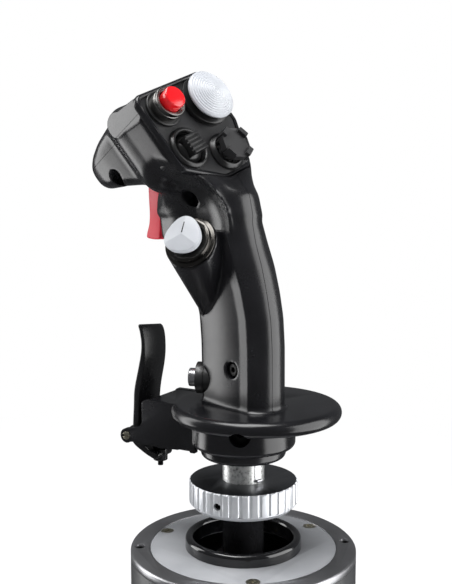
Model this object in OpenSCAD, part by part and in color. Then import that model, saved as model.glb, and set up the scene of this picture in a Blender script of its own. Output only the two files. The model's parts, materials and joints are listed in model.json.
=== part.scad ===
// Desk flight joystick: a twisted right-hand grip with a raked head, on a
// sprung two-axis gimbal in a round base.
// Origin at the bottom centre of the base, +Z up, +Y forward, away from the
// pilot, +X to the pilot's right. Millimetres.

/* [Base] */
// Side of the square mounting plate
plate_w = 190; // [180:1:230]
// Thickness of the mounting plate
plate_t = 4; // [3:0.5:6]
// Height of the rubber feet
foot_h = 3; // [2:0.5:4]
// Outer diameter of the drum and of the ring on top of it
drum_d = 120; // [118:1:126]
// Height of the base's top face above the table
deck_z = 74; // [73:0.5:75]
// Diameter of the inner cover plate
cover_d = 99; // [98:0.5:101]
// Outer diameter of the black lip round the stick
lip_d = 62; // [60:0.5:64]
// Distance between the mounting holes, both ways
mount_pitch = 150; // [140:1:156]
// Diameter of the mounting holes
mount_d = 6.5; // [5:0.1:8]

/* [Gimbal] */
// Height of the point that the stick tilts about
pivot_z = 52; // [51:0.5:53]
// Diameter of the gimbal pins
pin_d = 6; // [5:0.5:6.5]

/* [Stick] */
// Height of the ring nut's top face
nut_z = 110.3; // [110:0.1:111]
// Height of the ring nut
nut_h = 14; // [13:0.5:15]
// Outer diameter of the ring nut
nut_d = 57.5; // [54:0.5:60]
// Number of flutes round the ring nut
nut_flutes = 36; // [30:1:40]
// Diameter of the bare stem above the nut
stem_d = 22.3; // [21:0.1:23]
// Diameter of the narrow collar under the hand rest
neck_d = 45; // [42:0.5:47]
// Diameter of the wide collar under the hand rest
collar_d = 55; // [53:0.5:56]

/* [Hand rest] */
// Height of the hand rest's top face
rest_z = 151; // [150.5:0.5:151.5]
// Thickness of the hand rest
rest_t = 8; // [7:0.5:9]
// Radius of the hand rest
rest_r = 45; // [44:0.5:48]
// Outside width of the lever bracket
bracket_w = 36; // [35:0.5:38]

/* [Grip] */
// Twist of the grip from straight ahead, towards the right
grip_yaw = 21; // [17:0.5:25]
// Half width of the handle
handle_hw = 13.2; // [12.8:0.1:14]
// Wall thickness of the grip's shells
wall = 2.6; // [2.2:0.1:2.8]

/* [Head] */
// Tilt of the face plate from level
face_tilt = 62; // [60:1:64]
// Roll of the face plate towards the thumb
face_roll = 22.5; // [20:0.5:25]
// Thickness of the face plate
face_t = 2.2; // [2:0.1:2.6]

/* [Controls] */
// Diameter of the trim hat
trim_d = 27.6; // [26:0.2:28]
// Diameter of the red button's collar
button_d = 16.6; // [15:0.2:18]
// Diameter of the thumb hat's bezel
bezel_d = 22.8; // [22:0.2:24]
// Diameter of the castle hat's cup
castle_d = 21.4; // [20:0.2:22]
// Diameter of the side selector's cap
selector_d = 20.8; // [20:0.2:22]
// Travel of the push buttons
button_travel = 2; // [1:0.1:2]

/* [Hidden] */
$fn = 64;
eps = 0.01;
big = 400;
// running clearance of a pin in its hole, on the diameter
fit = 0.06;

plate_z = foot_h;
drum_z = plate_z + plate_t;
ring_t = 4;
drum_wall = 4;
drum_flange_d = 150;
// circles of the screws through the outer ring and the cover plate
ring_screw_r = 55;
ring_screw_turn = -57;
cover_screw_r = 46.2;
cover_screw_turn = 94;
lip_top = deck_z + 6;
lip_bore = lip_d - 9;

// height of the cable gland in the drum's front wall
gland_z = 28;

frame_out = 27;
frame_in = 21;
frame_h = 12;
post_y = 31;
post_t = 8;

nut_bottom = nut_z - nut_h;
nut_web = 4;
stem_flange_d = 35.8;
joint_z = nut_bottom + 5;
neck_z = 123;
collar_z = 128.6;
rest_at = [5, -5];

// the lever's hinge, across the bracket
lever_y = 62.7;
lever_z = 129.3;
lever_w = 21.5;
lever_pin_d = 4.6;
cheek_t = 3.4;
stop_y = 52.5;
stop_nut_z = 119.2;
rest_screw_turn = -156;
rest_screw_z = 140.4;

// where the front button sits on the handle, and its aim
push_at = [-0.4, 20.1, 162.6];
push_yaw = 18;
push_d = 17;

// middle of the face plate and of the side selector, in the grip's frame
head_at = [-13.7, 21.1, 293.1];
selector_at = [-26.4, 10.3, 235.7];
selector_tilt = 63;
selector_turn = -154;

// the trigger's pivot in the grip's frame, and the middle of its width
trigger_pivot = [-3, 66.5, 281];
trigger_w = 11;

// places of the four controls on the face plate
button_at = [-15, 16.6];
trim_at = [13.3, 11.5];
bezel_at = [-15.4, -7];
castle_at = [6.2, -17.3];

// depth of every hat's pivot below the base of its mount
hat_depth = 2;
cross_pin_d = 1.6;
cup_r = 6;
cup_in = 4.5;

// stations of the handle: height, sideways shift, front, back, half width
stations = [
  [rest_z, 0, 21.4, -25.5, handle_hw],
  [183, 0, 22.4, -25.2, handle_hw],
  [198, 0, 24, -24, handle_hw],
  [211, 0, 30, -21, handle_hw + 0.3],
  [224, -0.5, 39, -17.2, handle_hw + 0.8],
  [236, -1, 54.5, -12.3, handle_hw + 0.8],
  [252, -3, 55, -7.5, handle_hw + 0.5],
  [262, -3, 53, -3.5, handle_hw + 0.2]
];

// corners of the head's outline on the face plate's plane
face_corners = [[-22.7, 22.5], [21.5, 22.5], [22, -3], [13, -24], [-3, -24], [-22.7, -12]];
face_r = 6;

// stations of the nose: depth, half width, bottom, top
nose = [
  [26, 21, -15, 32.5],
  [38, 21, -6, 31.5],
  [50, 20.5, 0, 30],
  [60, 19.5, 4, 27.5],
  [68.5, 17, 7, 24.5],
  [72.5, 12, 10, 20.5]
];
screw_well_d = 8.4;
block_depth = 29;
split_x = -2.5;
// thickness of the slices that the grip's outline is drawn between
slab = 0.5;
block_bottom = -19;
hood_v = 20.5;

// the grip's three shell screws: y, z in the grip's frame, and the head's side
screws = [[-5, 171, -9], [24, 258, -9], [65, 269, -27]];

// ---- frames -------------------------------------------------------------

module in_grip() {
  rotate([0, 0, -grip_yaw]) children();
}

// from the grip's frame to the head's
module place_head() {
  translate(head_at) rotate([face_tilt, 0, 0]) rotate([0, 0, face_roll]) children();
}

module in_head() {
  in_grip() place_head() children();
}

module on_face(at) {
  in_head() translate([at[0], at[1], 0]) children();
}

module in_selector() {
  in_grip() translate(selector_at) rotate([0, selector_tilt, selector_turn])
    children();
}

module in_push() {
  translate(push_at) rotate([-90, 0, push_yaw]) children();
}

// ---- shared shapes --------------------------------------------------------

// a cylinder along X, centred on the origin
module rod_x(d, length) {
  rotate([0, 90, 0]) cylinder(d = d, h = length, center = true);
}

// a cylinder along Y, centred on the origin
module rod_y(d, length) {
  rotate([90, 0, 0]) cylinder(d = d, h = length, center = true);
}

module ring(d_out, d_in, h) {
  difference() {
    cylinder(d = d_out, h = h);
    translate([0, 0, -1]) cylinder(d = d_in, h = h + 2);
  }
}

module round_plate(w, d, r, t) {
  linear_extrude(t) hull() for (x = [-1, 1], y = [-1, 1])
    translate([x * (w / 2 - r), y * (d / 2 - r)]) circle(r, $fn = 32);
}

module screws_on_circle(count, radius, turn) {
  for (i = [0:count - 1]) rotate([0, 0, turn + i * 360 / count])
    translate([radius, 0, 0]) children();
}

// cross-head countersunk screw, head up at z = 0
module flat_screw(head_d, shank_d, length) {
  difference() {
    union() {
      translate([0, 0, -head_d * 0.3]) cylinder(d1 = shank_d, d2 = head_d, h = head_d * 0.3);
      translate([0, 0, -length]) cylinder(d = shank_d, h = length);
    }
    for (a = [0, 90]) rotate([0, 0, a])
      translate([-head_d * 0.3, -head_d * 0.06, -head_d * 0.15])
        cube([head_d * 0.6, head_d * 0.12, head_d]);
  }
}

// points of a coil: radius, pitch and turns along Z
function coil_point(r, pitch, a) = [r * cos(a), r * sin(a), pitch * a / 360];

module coil(r, wire, pitch, turns) {
  steps = 14 * turns;
  sides = 8;
  rings = [for (i = [0:steps]) let (a = i * 360 * turns / steps)
    [for (k = [0:sides - 1]) let (b = k * 360 / sides, q = r + wire / 2 * cos(b))
      coil_point(q, pitch, a) + [0, 0, wire / 2 * sin(b)]]];
  points = [for (one = rings) each one];
  walls = [for (i = [0:steps - 1], k = [0:sides - 1])
    let (n = (k + 1) % sides, p = i * sides)
      [p + k, p + sides + k, p + sides + n, p + n]];
  start = [for (k = [0:sides - 1]) k];
  end = [for (k = [sides - 1:-1:0]) steps * sides + k];
  polyhedron(points, concat(walls, [start, end]));
}

// ---- base -----------------------------------------------------------------

module base_plate() {
  color("#3a3b3d") difference() {
    translate([0, 0, plate_z]) round_plate(plate_w, plate_w, 10, plate_t);
    for (x = [-1, 1], y = [-1, 1])
      translate([x * mount_pitch / 2, y * mount_pitch / 2, 0])
        cylinder(d = mount_d, h = 20);
    screws_on_circle(6, drum_flange_d / 2 - 6, 15)
      cylinder(d = 4, h = 20);
  }
}

module rubber_feet() {
  foot_at = plate_w / 2 - 11;
  color("#141414") {
    cylinder(d1 = 25, d2 = 26, h = foot_h);
    for (x = [-1, 1], y = [-1, 1]) translate([x * foot_at, y * foot_at, 0])
      cylinder(d1 = 13, d2 = 14, h = foot_h);
  }
}

module base_housing() {
  color("#5b5d60") difference() {
    union() {
      translate([0, 0, drum_z]) cylinder(d = drum_d, h = deck_z - ring_t - drum_z);
      translate([0, 0, drum_z]) cylinder(d = drum_flange_d, h = 4);
    }
    translate([0, 0, drum_z - 1])
      cylinder(d = drum_d - 2 * drum_wall, h = deck_z - ring_t - drum_z - 3);
    translate([0, 0, drum_z]) cylinder(d = 88, h = 90);
    translate([0, 0, gland_z]) rotate([-90, 0, 0]) cylinder(d = 12, h = 90);
    screws_on_circle(6, drum_flange_d / 2 - 6, 15)
      cylinder(d = 4, h = 20);
    screws_on_circle(4, ring_screw_r, ring_screw_turn) translate([0, 0, deck_z - ring_t - 8])
      cylinder(d = 2.6, h = 20);
    screws_on_circle(3, cover_screw_r, cover_screw_turn) translate([0, 0, deck_z - ring_t - 8])
      cylinder(d = 3.2, h = 20);
  }
}

module housing_screws() {
  color("#2b2b2d") screws_on_circle(6, drum_flange_d / 2 - 6, 15)
    translate([0, 0, drum_z + 4]) {
      translate([0, 0, -plate_t - 4]) cylinder(d = 3.9, h = plate_t + 4);
      difference() {
        cylinder(d = 7, h = 3);
        translate([0, 0, 1.2]) cylinder(d = 3.4, h = 3, $fn = 6);
      }
    }
}

module base_ring() {
  color("#a9abad") translate([0, 0, deck_z - ring_t]) difference() {
    rotate_extrude($fn = 96) polygon([
      [cover_d / 2 + 0.2, 0], [drum_d / 2, 0], [drum_d / 2, ring_t - 0.8],
      [drum_d / 2 - 0.8, ring_t], [cover_d / 2 + 0.2, ring_t]
    ]);
    screws_on_circle(4, ring_screw_r, ring_screw_turn) {
      cylinder(d = 2.9, h = 20);
      translate([0, 0, ring_t - 2.4]) cylinder(d = 5.2, h = 5);
    }
  }
}

module ring_screws() {
  color("#2b2b2d") screws_on_circle(4, ring_screw_r, ring_screw_turn)
    translate([0, 0, deck_z - 2.4]) difference() {
      union() {
        translate([0, 0, -7]) cylinder(d = 2.5, h = 7);
        cylinder(d = 5, h = 1.6);
      }
      translate([0, 0, 0.6]) cylinder(d = 2.4, h = 3, $fn = 6);
    }
}

module top_plate() {
  color("#c3c5c8") translate([0, 0, deck_z - ring_t]) difference() {
    cylinder(d = cover_d, h = ring_t - 0.3);
    translate([0, 0, -1]) cylinder(d = lip_d - 5, h = 20);
    translate([0, 0, 1.5]) cylinder(d = lip_d, h = 20);
    screws_on_circle(3, cover_screw_r, cover_screw_turn) translate([0, 0, ring_t - 0.3]) {
      translate([0, 0, -20]) cylinder(d = 3.3, h = 40);
      translate([0, 0, -2.2]) cylinder(d1 = 3.3, d2 = 7.7, h = 2.2 + eps);
    }
  }
}

module top_plate_screws() {
  color("#b9a77c") screws_on_circle(3, cover_screw_r, cover_screw_turn)
    translate([0, 0, deck_z - 0.4]) flat_screw(7.2, 3.1, 6);
}

module stick_lip() {
  r_out = lip_d / 2;
  r_in = lip_bore / 2;
  r_mid = (r_out + r_in) / 2;
  color("#0c0c0d") translate([0, 0, deck_z - ring_t + 1.5])
    rotate_extrude($fn = 96) {
      translate([r_in, 0]) square([r_out - r_in, lip_top - deck_z + ring_t - 1.5 - (r_out - r_in) / 2]);
      translate([r_mid, lip_top - deck_z + ring_t - 1.5 - (r_out - r_in) / 2])
        circle((r_out - r_in) / 2, $fn = 32);
    }
}

module cable_gland() {
  color("#1c1c1e") translate([0, drum_d / 2 - drum_wall, gland_z]) rotate([-90, 0, 0])
    difference() {
      union() {
        translate([0, 0, -6]) cylinder(d = 16, h = 5.5);
        translate([0, 0, -1]) cylinder(d = 11.8, h = 8);
        translate([0, 0, drum_wall]) cylinder(d = 18, h = 3, $fn = 6);
        translate([0, 0, drum_wall + 3]) cylinder(d1 = 15, d2 = 11, h = 6);
      }
      translate([0, 0, -7]) cylinder(d = 8, h = 30);
    }
}

module main_board() {
  color("#1f5a35") translate([30, -14, 20]) {
    cube([1.6, 28, 26]);
    translate([-3, 8, 12]) cube([3, 10, 10]);
    translate([-6, 2, 1]) cube([6, 18, 6]);
    for (y = [3, 22]) translate([-1, y, -13]) cube([3.6, 3, 15]);
  }
}

// ---- gimbal ---------------------------------------------------------------

module gimbal_cradle() {
  post_h = pivot_z - drum_z;
  color("#77797c") difference() {
    union() {
      translate([-22, -42, drum_z]) cube([44, 84, 4]);
      for (s = [-1, 1]) {
        translate([-9, s > 0 ? post_y : -post_y - post_t, drum_z])
          cube([18, post_t, post_h]);
        translate([0, s * (post_y + post_t / 2), pivot_z]) rod_y(18, post_t);
      }
    }
    translate([0, 0, pivot_z]) rod_y(pin_d + 4, 120);
  }
}

module roll_bushes() {
  color("#b08d3c") for (s = [-1, 1])
    translate([0, s * post_y, pivot_z]) rotate([s * -90, 0, 0]) difference() {
      union() {
        translate([0, 0, -1]) cylinder(d = pin_d + 7, h = 1);
        cylinder(d = pin_d + 4, h = post_t);
      }
      translate([0, 0, -2]) cylinder(d = pin_d + fit, h = post_t + 4);
    }
}

module roll_sensor() {
  color("#2c6e49") translate([-8, -post_y - post_t - 5.6, pivot_z - 8]) {
    cube([16, 1.6, 16]);
    translate([5, 1.6, 5]) cube([6, 1.2, 6]);
    for (x = [0, 13]) translate([x, 1.6, 0]) cube([3, 4, 3]);
  }
}

module gimbal_frame() {
  color("#8d9093") translate([0, 0, pivot_z]) difference() {
    translate([-frame_out, -frame_out, -frame_h / 2])
      cube([2 * frame_out, 2 * frame_out, frame_h]);
    translate([-frame_in, -frame_in, -frame_h])
      cube([2 * frame_in, 2 * frame_in, 2 * frame_h]);
    rod_y(pin_d, 120);
    rod_x(pin_d + 3, 120);
  }
}

module roll_pins() {
  color("#c9cbce") for (s = [-1, 1])
    translate([0, s * (frame_in + 20.2) / 2 + s * frame_in / 2 - s * 0.1, pivot_z])
      rod_y(pin_d, 20);
}

module pitch_bushes() {
  color("#b08d3c") for (s = [-1, 1]) translate([s * frame_in, 0, pivot_z])
    rotate([0, s * 90, 0]) difference() {
      cylinder(d = pin_d + 3, h = frame_out - frame_in);
      translate([0, 0, -1]) cylinder(d = pin_d + fit, h = 20);
    }
}

module roll_spring() {
  color("#9fa3a8") translate([0, frame_out + 0.6, pivot_z]) rotate([-90, 0, 0])
    translate([0, 0, 0.3]) coil(4.2, 0.5, 0.6, 2);
}

module shaft() {
  color("#1b1c1e") difference() {
    union() {
      translate([0, 0, pivot_z - 16]) cylinder(d = 18, h = 17);
      translate([0, 0, pivot_z - 8]) cylinder(d = 22, h = joint_z - pivot_z + 8);
      translate([0, 0, nut_bottom + 0.6]) cylinder(d = stem_flange_d, h = joint_z - nut_bottom - 0.6);
    }
    translate([0, 0, pivot_z + 10]) cylinder(d = 12, h = 90);
    translate([0, 0, pivot_z]) rod_x(pin_d, 60);
  }
}

module pitch_pin() {
  color("#c9cbce") translate([0, 0, pivot_z]) rod_x(pin_d, 2 * frame_out + 3);
}

module pitch_spring() {
  color("#9fa3a8") translate([11.6, 0, pivot_z]) rotate([0, 90, 0])
    translate([0, 0, 0.4]) coil(4, 0.8, 1.3, 6);
}

// ---- stick ----------------------------------------------------------------

module ring_nut() {
  r = nut_d / 2;
  lip = 2.5;
  color("#dcdfe2") difference() {
    translate([0, 0, nut_bottom]) rotate_extrude($fn = 96) polygon([
      [stem_flange_d / 2 + 0.1, 0], [r - 2.2, 0], [r - 0.6, lip - 0.6],
      [r - 0.6, lip], [r, lip], [r, nut_h - 0.6], [r - 0.6, nut_h],
      [stem_d / 2 + 0.15, nut_h], [stem_d / 2 + 0.15, nut_h - nut_web],
      [stem_flange_d / 2 + 0.1, nut_h - nut_web]
    ]);
    for (i = [0:nut_flutes - 1]) rotate([0, 0, (i + 0.5) * 360 / nut_flutes])
      translate([r + 0.75, 0, nut_bottom + lip]) cylinder(r = 1.4, h = nut_h, $fn = 24);
    translate([0, 0, nut_z - 7]) rotate([0, -90, 0]) cylinder(d = 4, h = 60);
  }
}

module nut_set_screw() {
  color("#2a2622") translate([0, 0, nut_z - 7]) rotate([0, -90, 0])
    translate([0, 0, stem_flange_d / 2 + 0.5]) difference() {
      cylinder(d = 3.94, h = 8.4);
      translate([0, 0, 6]) cylinder(d = 2, h = 5, $fn = 6);
    }
}

module grip_stem() {
  color("#b6bab9") difference() {
    union() {
      translate([0, 0, joint_z]) cylinder(d = stem_flange_d, h = nut_z - nut_web - joint_z - 0.1);
      translate([0, 0, joint_z]) cylinder(d = stem_d, h = collar_z + 4 - joint_z);
    }
    translate([0, 0, joint_z - 1]) cylinder(d = 12, h = 60);
    rotate([0, 0, -110]) translate([stem_d / 2 - 1.6, -2, nut_z + 0.8]) cube([5, 4, 40]);
  }
}

module stem_key() {
  color("#d8dadb") rotate([0, 0, -110])
    translate([stem_d / 2 - 1.6, -1.95, nut_z + 0.8]) {
      cube([1.9, 3.9, neck_z - nut_z - 0.9]);
      cube([3.6, 3.9, 1.4]);
    }
}

module lower_collar() {
  r = neck_d / 2;
  edge = 2.5;
  color("#161618") translate([0, 0, neck_z]) rotate_extrude($fn = 96) {
    translate([stem_d / 2 + 0.05, 0]) square([r - edge - stem_d / 2, collar_z - neck_z]);
    translate([r - edge, edge]) circle(edge, $fn = 32);
    translate([r - 2 * edge, edge]) square([2 * edge, collar_z - neck_z - edge]);
  }
}

// side view of one bracket cheek, y across and z up
module cheek_outline() {
  polygon([
    [14, rest_z - 0.6], [50.8, rest_z - 0.6], [52.5, rest_z - 2.2], [52.5, 138],
    [54, 135.5], [lever_y - 1, 133.2], [lever_y - 1, 126], [54, 126.8],
    [41, 125.4], [29.5, 126], [27.5, 129.5], [24.5, 129.5], [22, 125.5],
    [19.5, 125.5], [19.5, collar_z + 1], [14, collar_z + 1]
  ]);
  translate([lever_y, lever_z]) circle(4);
}

module hand_rest() {
  r = rest_t / 2;
  color("#121214") difference() {
    union() {
      translate([rest_at[0], rest_at[1], rest_z - rest_t]) rotate_extrude($fn = 96) {
        square([rest_r - r, rest_t]);
        translate([rest_r - r, r]) circle(r, $fn = 32);
      }
      translate([0, 0, collar_z]) rotate_extrude($fn = 96) {
        square([collar_d / 2 - 3, rest_z - collar_z - 2]);
        translate([0, 3]) square([collar_d / 2, rest_z - collar_z - 5]);
        translate([collar_d / 2 - 3, 3]) circle(3, $fn = 32);
      }
      for (s = [-1, 1]) translate([s * (bracket_w - cheek_t) / 2, 0, 0])
        rotate([90, 0, 90]) linear_extrude(cheek_t, center = true) cheek_outline();
      translate([-bracket_w / 2 + 1, 20, rest_z - 7]) cube([bracket_w - 2, 30, 6.1]);
      translate([-bracket_w / 2 + 1, 23, 126]) cube([bracket_w - 2, 23, 20]);
      translate([-bracket_w / 2 + 1, 44, 125.4]) cube([bracket_w - 2, 12, 3]);
    }
    translate([0, 0, lever_z]) translate([0, lever_y, 0]) rod_x(lever_pin_d, 80);
    translate([0, 0, collar_z - 1]) cylinder(d = 12, h = 60);
    translate([0, 0, collar_z - 1]) cylinder(d = stem_d + 0.1, h = 5.2);
    rotate([0, 0, rest_screw_turn]) translate([0, 0, rest_screw_z]) rotate([0, 90, 0])
      translate([0, 0, 14]) cylinder(d = 11, h = 60);
  }
}

module rest_screw() {
  color("#0f0f10") rotate([0, 0, rest_screw_turn]) translate([0, 0, rest_screw_z]) rotate([0, 90, 0])
    translate([0, 0, 14]) difference() {
      cylinder(d = 10.9, h = 8);
      translate([0, 0, 5]) cylinder(d = 4, h = 5, $fn = 6);
    }
}

// ---- brake lever -----------------------------------------------------------

// side view of the lever's blade and lower arm, y across and z up
module lever_outline() {
  polygon([
    [62.9, 131], [63, 145], [62.4, 154], [59.4, 166], [57.9, 174], [57.8, 181],
    [59.4, 189], [59, 190.5], [57, 189.5], [55.8, 182], [55.2, 174],
    [55.3, 166], [57.4, 154], [58, 145], [58.4, 133]
  ]);
  polygon([
    [66.4, 131], [66.6, 125], [65.4, 122], [60, 118.6], [55.5, 116.4],
    [54.5, 119.4], [58, 121.5], [60, 124.5], [59.5, 131]
  ]);
}

module brake_lever() {
  color("#0e0e10") difference() {
    union() {
      rotate([90, 0, 90]) linear_extrude(lever_w, center = true) lever_outline();
      translate([0, lever_y, lever_z]) rod_x(8, lever_w);
      translate([0, stop_y, 112.6]) cylinder(d = 8, h = 6.6);
      translate([-4, stop_y, 115.4]) cube([8, 5, 3.6]);
    }
    translate([0, lever_y, lever_z]) rod_x(lever_pin_d + fit, 80);
    translate([0, stop_y, 100]) cylinder(d = 3.2, h = 40);
    translate([0, stop_y, stop_nut_z]) cylinder(d = 8.4, h = 4);
    translate([0, 50, 186.8]) rotate([0, 13, 0]) translate([-20, 0, 0]) cube([40, 20, 20]);
  }
}

module lever_pin() {
  length = bracket_w + 0.8;
  color("#c8b27a") translate([0, lever_y, lever_z]) difference() {
    rod_x(lever_pin_d, length);
    translate([-length / 2 - 1, -5, -0.4]) cube([1.8, 10, 0.8]);
  }
}

module lever_spring() {
  color("#9fa3a8") translate([lever_w / 2 + 0.9, lever_y, lever_z]) rotate([0, 90, 0])
    coil(3.1, 0.7, 0.9, 2);
}

module lever_switch() {
  color("#202024") translate([0, 46, 130.2]) {
    translate([-6.5, 0, 0]) cube([13, 6, 10]);
    translate([-1.5, 5, 6]) cube([3, 1.8, 2]);
  }
}

module stop_screw() {
  color("#4a4c50") translate([0, stop_y, 109.6]) difference() {
    cylinder(d = 3, h = 15.4);
    translate([0, 0, -1]) cylinder(d = 1.7, h = 2.5, $fn = 6);
  }
}

module stop_nut() {
  color("#3a3c40") translate([0, stop_y, stop_nut_z]) difference() {
    cylinder(d = 7.4, h = 2.4, $fn = 6);
    translate([0, 0, -1]) cylinder(d = 3.05, h = 5);
  }
}

// ---- grip shells ------------------------------------------------------------

// one thin slice of the handle, pulled in by t all round
module handle_slice(s, t, lift = 0) {
  hw = s[4] - t;
  corner = 4;
  translate([s[1], 0, s[0] + lift]) linear_extrude(slab) hull() {
    for (x = [-1, 1]) translate([x * (hw - corner), s[2] - t - corner])
      circle(corner, $fn = 24);
    translate([0, s[3] + s[4]]) circle(hw, $fn = 40);
  }
}

module handle_loft(t) {
  for (i = [0:len(stations) - 2]) hull() {
    handle_slice(stations[i], t);
    handle_slice(stations[i + 1], t);
  }
}

// the head's outline on the face plate's plane, pulled in by t
module face_outline(t) {
  hull() for (p = face_corners) translate(p) circle(face_r - t, $fn = 24);
}

module nose_slice(s, t) {
  r = 6;
  translate([0, 0, t - s[0]]) linear_extrude(slab) hull()
    for (x = [-1, 1], y = [s[2] + r, s[3] - r])
      translate([x * (s[1] - r), y]) circle(r - t, $fn = 24);
}

// face side of the head: full width down to block_depth
module head_block(t) {
  hull() {
    translate([0, 0, -slab]) linear_extrude(slab) face_outline(t);
    translate([0, 0, -block_depth + t]) linear_extrude(slab) hull()
      for (x = [-1, 1], y = [block_bottom + 9, 23.5])
        translate([x * 18.5, y]) circle(8.5 - t, $fn = 24);
  }
}

module nose_loft(t) {
  for (i = [0:len(nose) - 2]) hull() {
    nose_slice(nose[i], t);
    nose_slice(nose[i + 1], t);
  }
}

// joins the top of the handle to the underside of the head
module neck_blend(t) {
  hull() {
    handle_slice(stations[len(stations) - 1], t + 0.15, -1.5);
    place_head() translate([0, 0, -20]) linear_extrude(19) intersection() {
      face_outline(t + 0.5);
      translate([-40, -60]) square([80, 42 + 10]);
    }
  }
}

// the thumb ledge and the pod that carries the side selector
module pod(t) {
  hull() {
    translate(selector_at) rotate([0, selector_tilt, selector_turn])
      translate([0, 0, -3]) cylinder(r = 14 - t, h = 3, $fn = 32);
    translate([-15.5, 13.5, 222]) sphere(12.5 - t, $fn = 24);
    translate([-11, 15, 209]) sphere(9 - t, $fn = 24);
    translate([-8.6, 16.5, 202]) sphere(6.5 - t, $fn = 24);
  }
}

module thumb_ledge(t) {
  hull() {
    translate([-12, 2, 247.5]) sphere(9 - t, $fn = 24);
    translate([-11.5, 9, 253]) sphere(8 - t, $fn = 24);
  }
}

module grip_outer() {
  handle_loft(0);
  neck_blend(0);
  place_head() head_block(0);
  place_head() nose_loft(0);
  pod(0);
  thumb_ledge(0);
}

module grip_inner() {
  difference() {
    union() {
      translate([0, 0, -eps]) handle_loft(wall);
      neck_blend(wall);
      place_head() {
        head_block(wall);
        translate([0, 0, -3]) linear_extrude(6) face_outline(wall);
        nose_loft(wall);
      }
    }
    for (s = screws) translate([0, s[0], s[1]]) rod_x(screw_well_d + 4, 80);
    for (x = [-11.4, 3.4]) translate([x, 56, 262]) cube([2, 16, 24]);
  }
}

// everything cut out of the assembled shells
module grip_cuts() {
  in_grip() {
    translate([trigger_pivot[0] - trigger_w / 2 - 0.5, 50, 234])
      cube([trigger_w + 1, 24, 28]);
    translate([trigger_pivot[0] - trigger_w / 2 - 0.5, 56.5, 250])
      cube([trigger_w + 1, 16, 38]);
    translate(trigger_pivot) rod_x(3.1, 24);
    for (s = screws) translate([0, s[0], s[1]]) {
      rod_x(3.2, 80);
      translate([s[2] - 40, 0, 0]) rotate([0, 90, 0]) cylinder(d = screw_well_d, h = 40);
    }
  }
  in_selector() translate([0, 0, -14]) cylinder(r = 11.6, h = 20);
  in_head() linear_extrude(16) face_outline(-0.15);
  for (p = [trim_at, bezel_at, castle_at]) on_face(p) hat_pocket();
  on_face(button_at) translate([0, 0, -12]) cylinder(r = 6.4, h = 14);
  in_push() {
    translate([0, 0, -7]) cylinder(d = push_d + 0.2, h = 30);
    translate([0, 0, -18]) cylinder(d = 12, h = 12);
  }
}

// room for one hat switch behind the face plate
module hat_pocket() {
  translate([0, 0, -11.6]) cylinder(r = 8.8, h = 13);
  for (x = [-1, 1]) translate([x * 9.8, 0, -11.6]) cylinder(r = 2, h = 13);
}

module hood_side() {
  translate([-big / 2, hood_v, -big / 2]) cube(big);
}

module grip_shell_left() {
  color("#131315") difference() {
    in_grip() difference() {
      grip_outer();
      grip_inner();
      place_head() hood_side();
      translate([split_x, -big / 2, 0]) cube(big);
    }
    grip_cuts();
  }
}

module grip_shell_right() {
  color("#131315") difference() {
    in_grip() difference() {
      grip_outer();
      grip_inner();
      place_head() hood_side();
      translate([split_x - big, -big / 2, 0]) cube(big);
    }
    grip_cuts();
  }
}

module head_hood() {
  color("#131315") in_grip() intersection() {
    difference() {
      place_head() {
        head_block(0);
        nose_loft(0);
      }
      place_head() {
        head_block(wall);
        translate([0, 0, -3]) linear_extrude(6) face_outline(wall);
        nose_loft(wall);
      }
    }
    place_head() translate([0, 0.02, 0]) hood_side();
  }
}

module shell_screws() {
  color("#2b2b2d") in_grip() for (s = screws) translate([s[2], s[0], s[1]])
    rotate([0, -90, 0]) {
      translate([0, 0, -8]) cylinder(d = 3, h = 8);
      difference() {
        cylinder(d = 6.4, h = 2.4);
        translate([0, 0, 1]) cylinder(d = 3, h = 3, $fn = 6);
      }
    }
}

module face_plate() {
  color("#1d1d20") in_head() difference() {
    hull() {
      linear_extrude(0.8) face_outline(0);
      translate([0, 0, face_t - 1]) linear_extrude(1) face_outline(2.4);
    }
    for (p = [trim_at, castle_at]) translate([p[0], p[1], -5]) cylinder(d = 12.8, h = 20);
    translate([bezel_at[0], bezel_at[1], -5]) cylinder(d = 17.6, h = 20);
    translate([button_at[0], button_at[1], -5]) cylinder(d = 13, h = 20);
  }
}

module grip_board() {
  color("#1f5a35") in_grip() translate([-8, 2, 184]) {
    cube([16, 1.6, 44]);
    translate([4, 1.6, 20]) cube([8, 1.4, 8]);
    translate([3, 1.6, 3]) cube([10, 5, 5]);
    translate([3, 1.6, 36]) cube([10, 5, 5]);
  }
}

// ---- hats ---------------------------------------------------------------------

// fixed lower half of a hat switch; its pivot is hat_depth below the origin
module hat_switch() {
  translate([0, 0, -hat_depth]) difference() {
    union() {
      translate([0, 0, -9]) cylinder(r = 8.2, h = 6.2);
      translate([0, 0, -9]) cylinder(r = cup_r, h = 10.5);
      for (x = [-1, 1]) {
        translate([x * 9.8, 0, -9]) cylinder(r = 1.5, h = 9 + hat_depth);
        translate([x * 8.4 - 1.4, -1.4, -9]) cube([2.8, 2.8, 5]);
      }
    }
    translate([0, 0, -3.4]) cylinder(r = cup_in, h = 10);
    rod_x(cross_pin_d + fit, 30);
  }
}

module hat_switches() {
  color("#26262a") {
    for (p = [trim_at, bezel_at, castle_at]) on_face(p) hat_switch();
    in_selector() translate([0, 0, -0.5]) hat_switch();
  }
}

module hat_cross() {
  translate([0, 0, -hat_depth]) {
    cube(3, center = true);
    rod_x(cross_pin_d, 2 * cup_r - 0.4);
    rod_y(cross_pin_d, 7.6);
  }
}

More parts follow.
